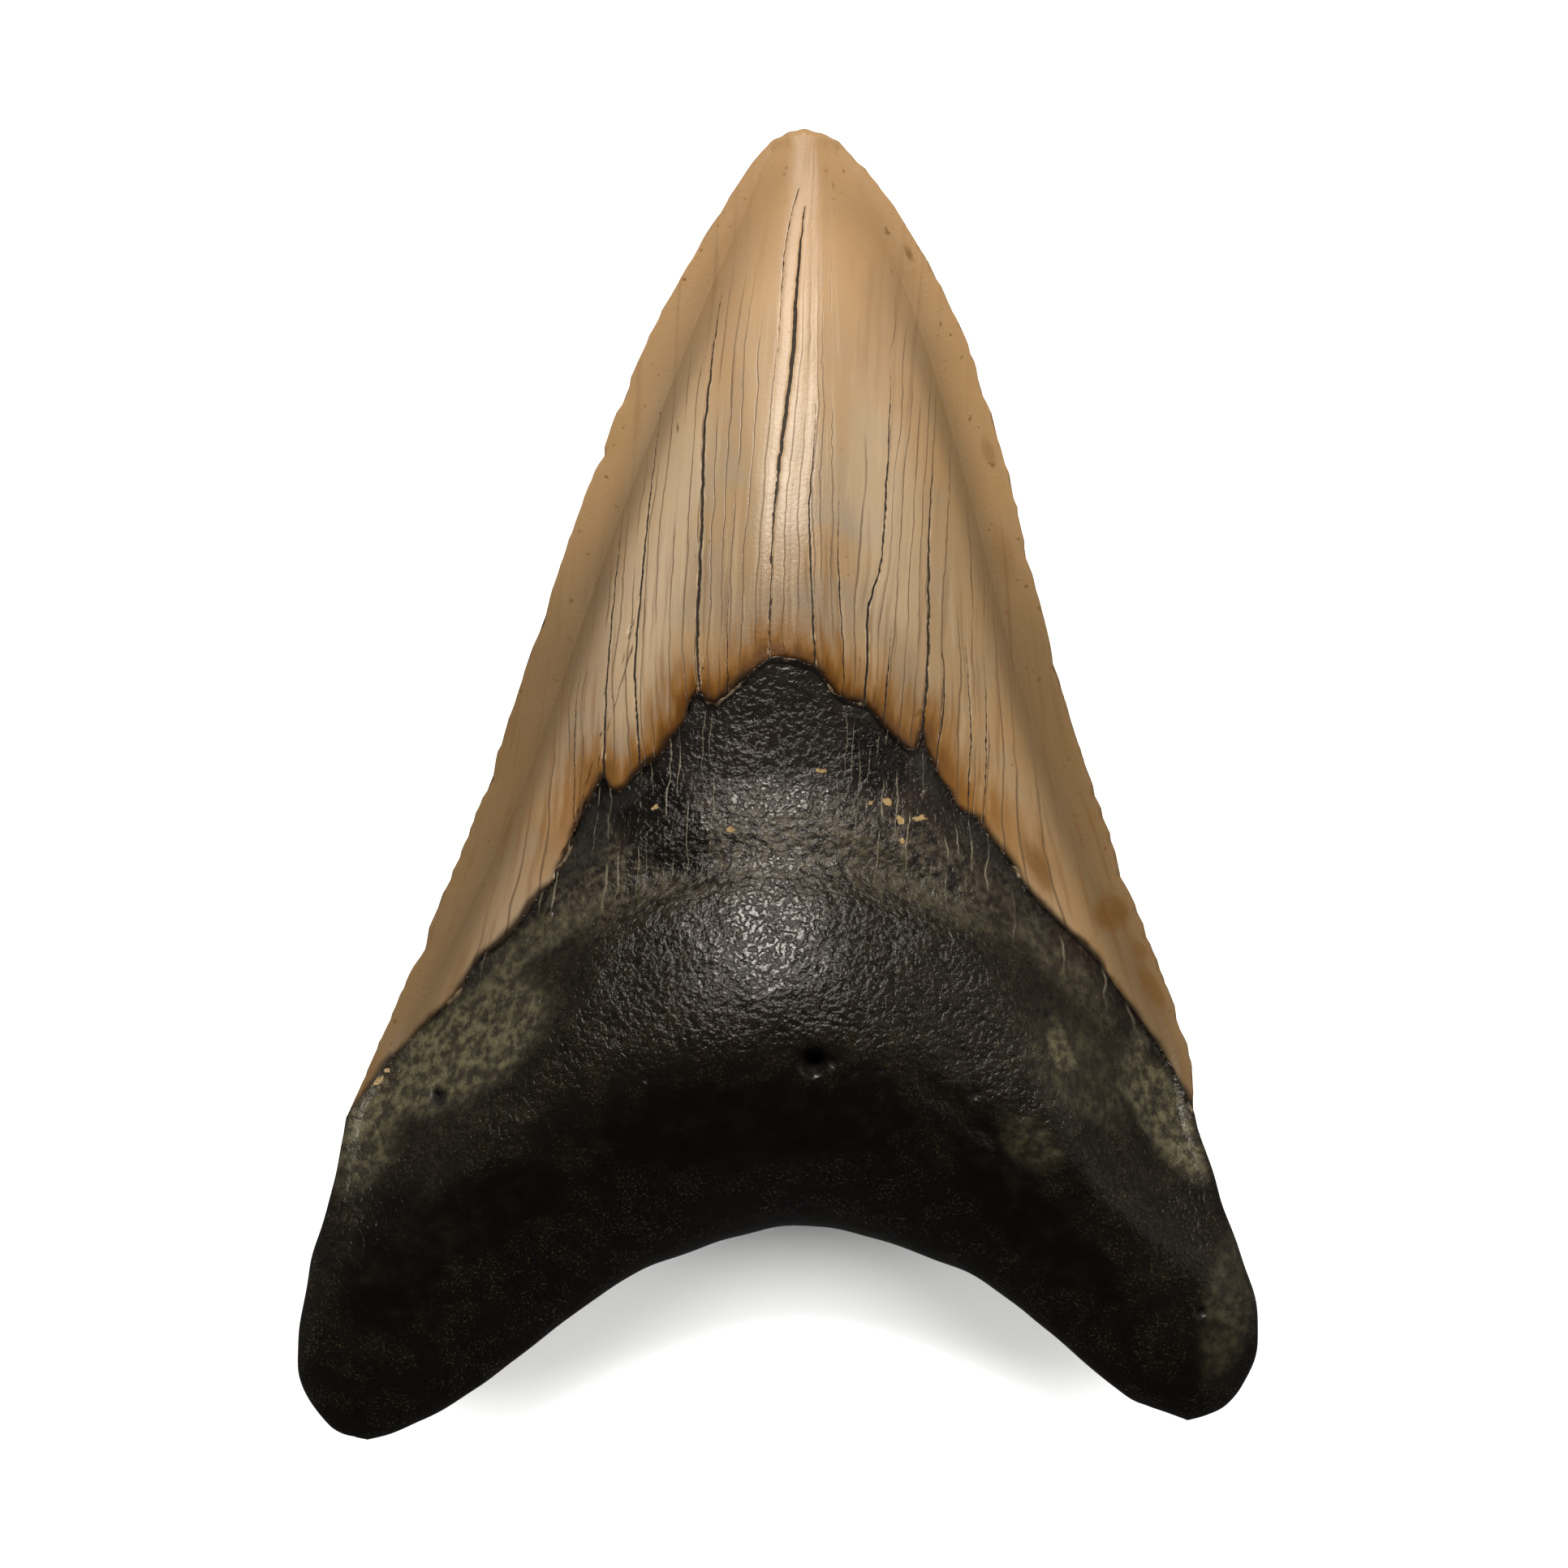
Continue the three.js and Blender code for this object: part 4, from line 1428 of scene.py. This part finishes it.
@dataclass(frozen=True)
class Softbox:
    """A square studio light aimed at the tooth. Its place and size are in millimetres."""

    name: str
    at: tuple[float, float, float]
    size: float
    watts: float

    def build(self, shines_on: bpy.types.Collection | None = None) -> None:
        """Hang the light.

        Args:
            shines_on: All that it reaches, where it is flagged off from the rest.
        """
        lamp = bpy.data.lights.new(self.name, "AREA")
        lamp.shape = "SQUARE"
        lamp.size = self.size * MM
        lamp.energy = self.watts
        light = placed(self.name, lamp)
        light.location = Vector(self.at) * MM
        light.rotation_euler = (-light.location).to_track_quat("-Z", "Y").to_euler()
        light.visible_camera = False
        light.light_linking.receiver_collection = shines_on


@dataclass(frozen=True)
class Studio:
    """The plain floor, the lights and the camera straight above the tooth."""

    key: Softbox = Softbox("key_softbox", (0, 380, 420), 210, 4)
    # These reach the paper alone, so that it is white without brightening the tooth
    paper_lights: tuple[Softbox, ...] = tuple(
        Softbox(name, (x, -60, 230), 300, 4.6)
        for name, x in (("left_paper_softbox", -450), ("right_paper_softbox", 450))
    )
    # A weak light that shows the form of the right flank
    side_light: Softbox = Softbox("side_softbox", (450, 60, 260), 300, 0.16)
    floor_radius: float = 3000.0
    floor_drop: float = 0.05
    sky: float = 0.05
    frame_width: float = 144.3
    frame_centre: tuple[float, float] = (0.575, -0.15)
    outline_height: float = 5.0
    camera_height: float = 900.0
    sensor: float = 36.0

    def build(self) -> None:
        """Set up the floor, the lights and the camera."""
        paper = bpy.data.collections.new("paper")
        paper.objects.link(self.lay_floor())
        for lamp in self.paper_lights:
            lamp.build(shines_on=paper)
        self.key.build()
        self.side_light.build()
        world = bpy.data.worlds.new("dim_studio")
        world.use_nodes = True
        grey = (self.sky, self.sky, self.sky, 1)
        world.node_tree.nodes["Background"].inputs["Color"].default_value = grey
        bpy.context.scene.world = world
        bpy.context.scene.view_settings.view_transform = "Standard"
        self.place_camera()

    def lay_floor(self) -> bpy.types.Object:
        """Lay the paper under the tooth."""
        disc = bmesh.new()
        bmesh.ops.create_circle(disc, cap_ends=True, segments=96, radius=self.floor_radius * MM)
        bmesh.ops.translate(disc, verts=disc.verts, vec=(0, 0, -self.floor_drop * MM))
        mesh = bpy.data.meshes.new("floor")
        disc.to_mesh(mesh)
        disc.free()
        mesh.materials.append(SeamlessPaper().material())
        floor = placed("floor", mesh)
        # The polished flanks would mirror the white paper
        floor.visible_glossy = False
        return floor

    def place_camera(self) -> None:
        """Look straight down, with the frame as wide as the photograph's at the outline's height."""
        lens = bpy.data.cameras.new("camera")
        lens.sensor_width = self.sensor
        lens.lens = self.sensor * (self.camera_height - self.outline_height) / self.frame_width
        camera = placed("camera", lens)
        camera.location = Vector((*self.frame_centre, self.camera_height)) * MM
        bpy.context.scene.camera = camera


def main() -> None:
    """Build the studio and the tooth, and report what was made."""
    logging.basicConfig(level=logging.INFO, format="%(message)s")
    Studio().build()
    maker = Tooth()
    tooth = maker.build()
    maker.dress(tooth)
    log.info("%s: %d triangles", tooth.name, len(tooth.data.polygons))


if __name__ == "__main__":
    main()
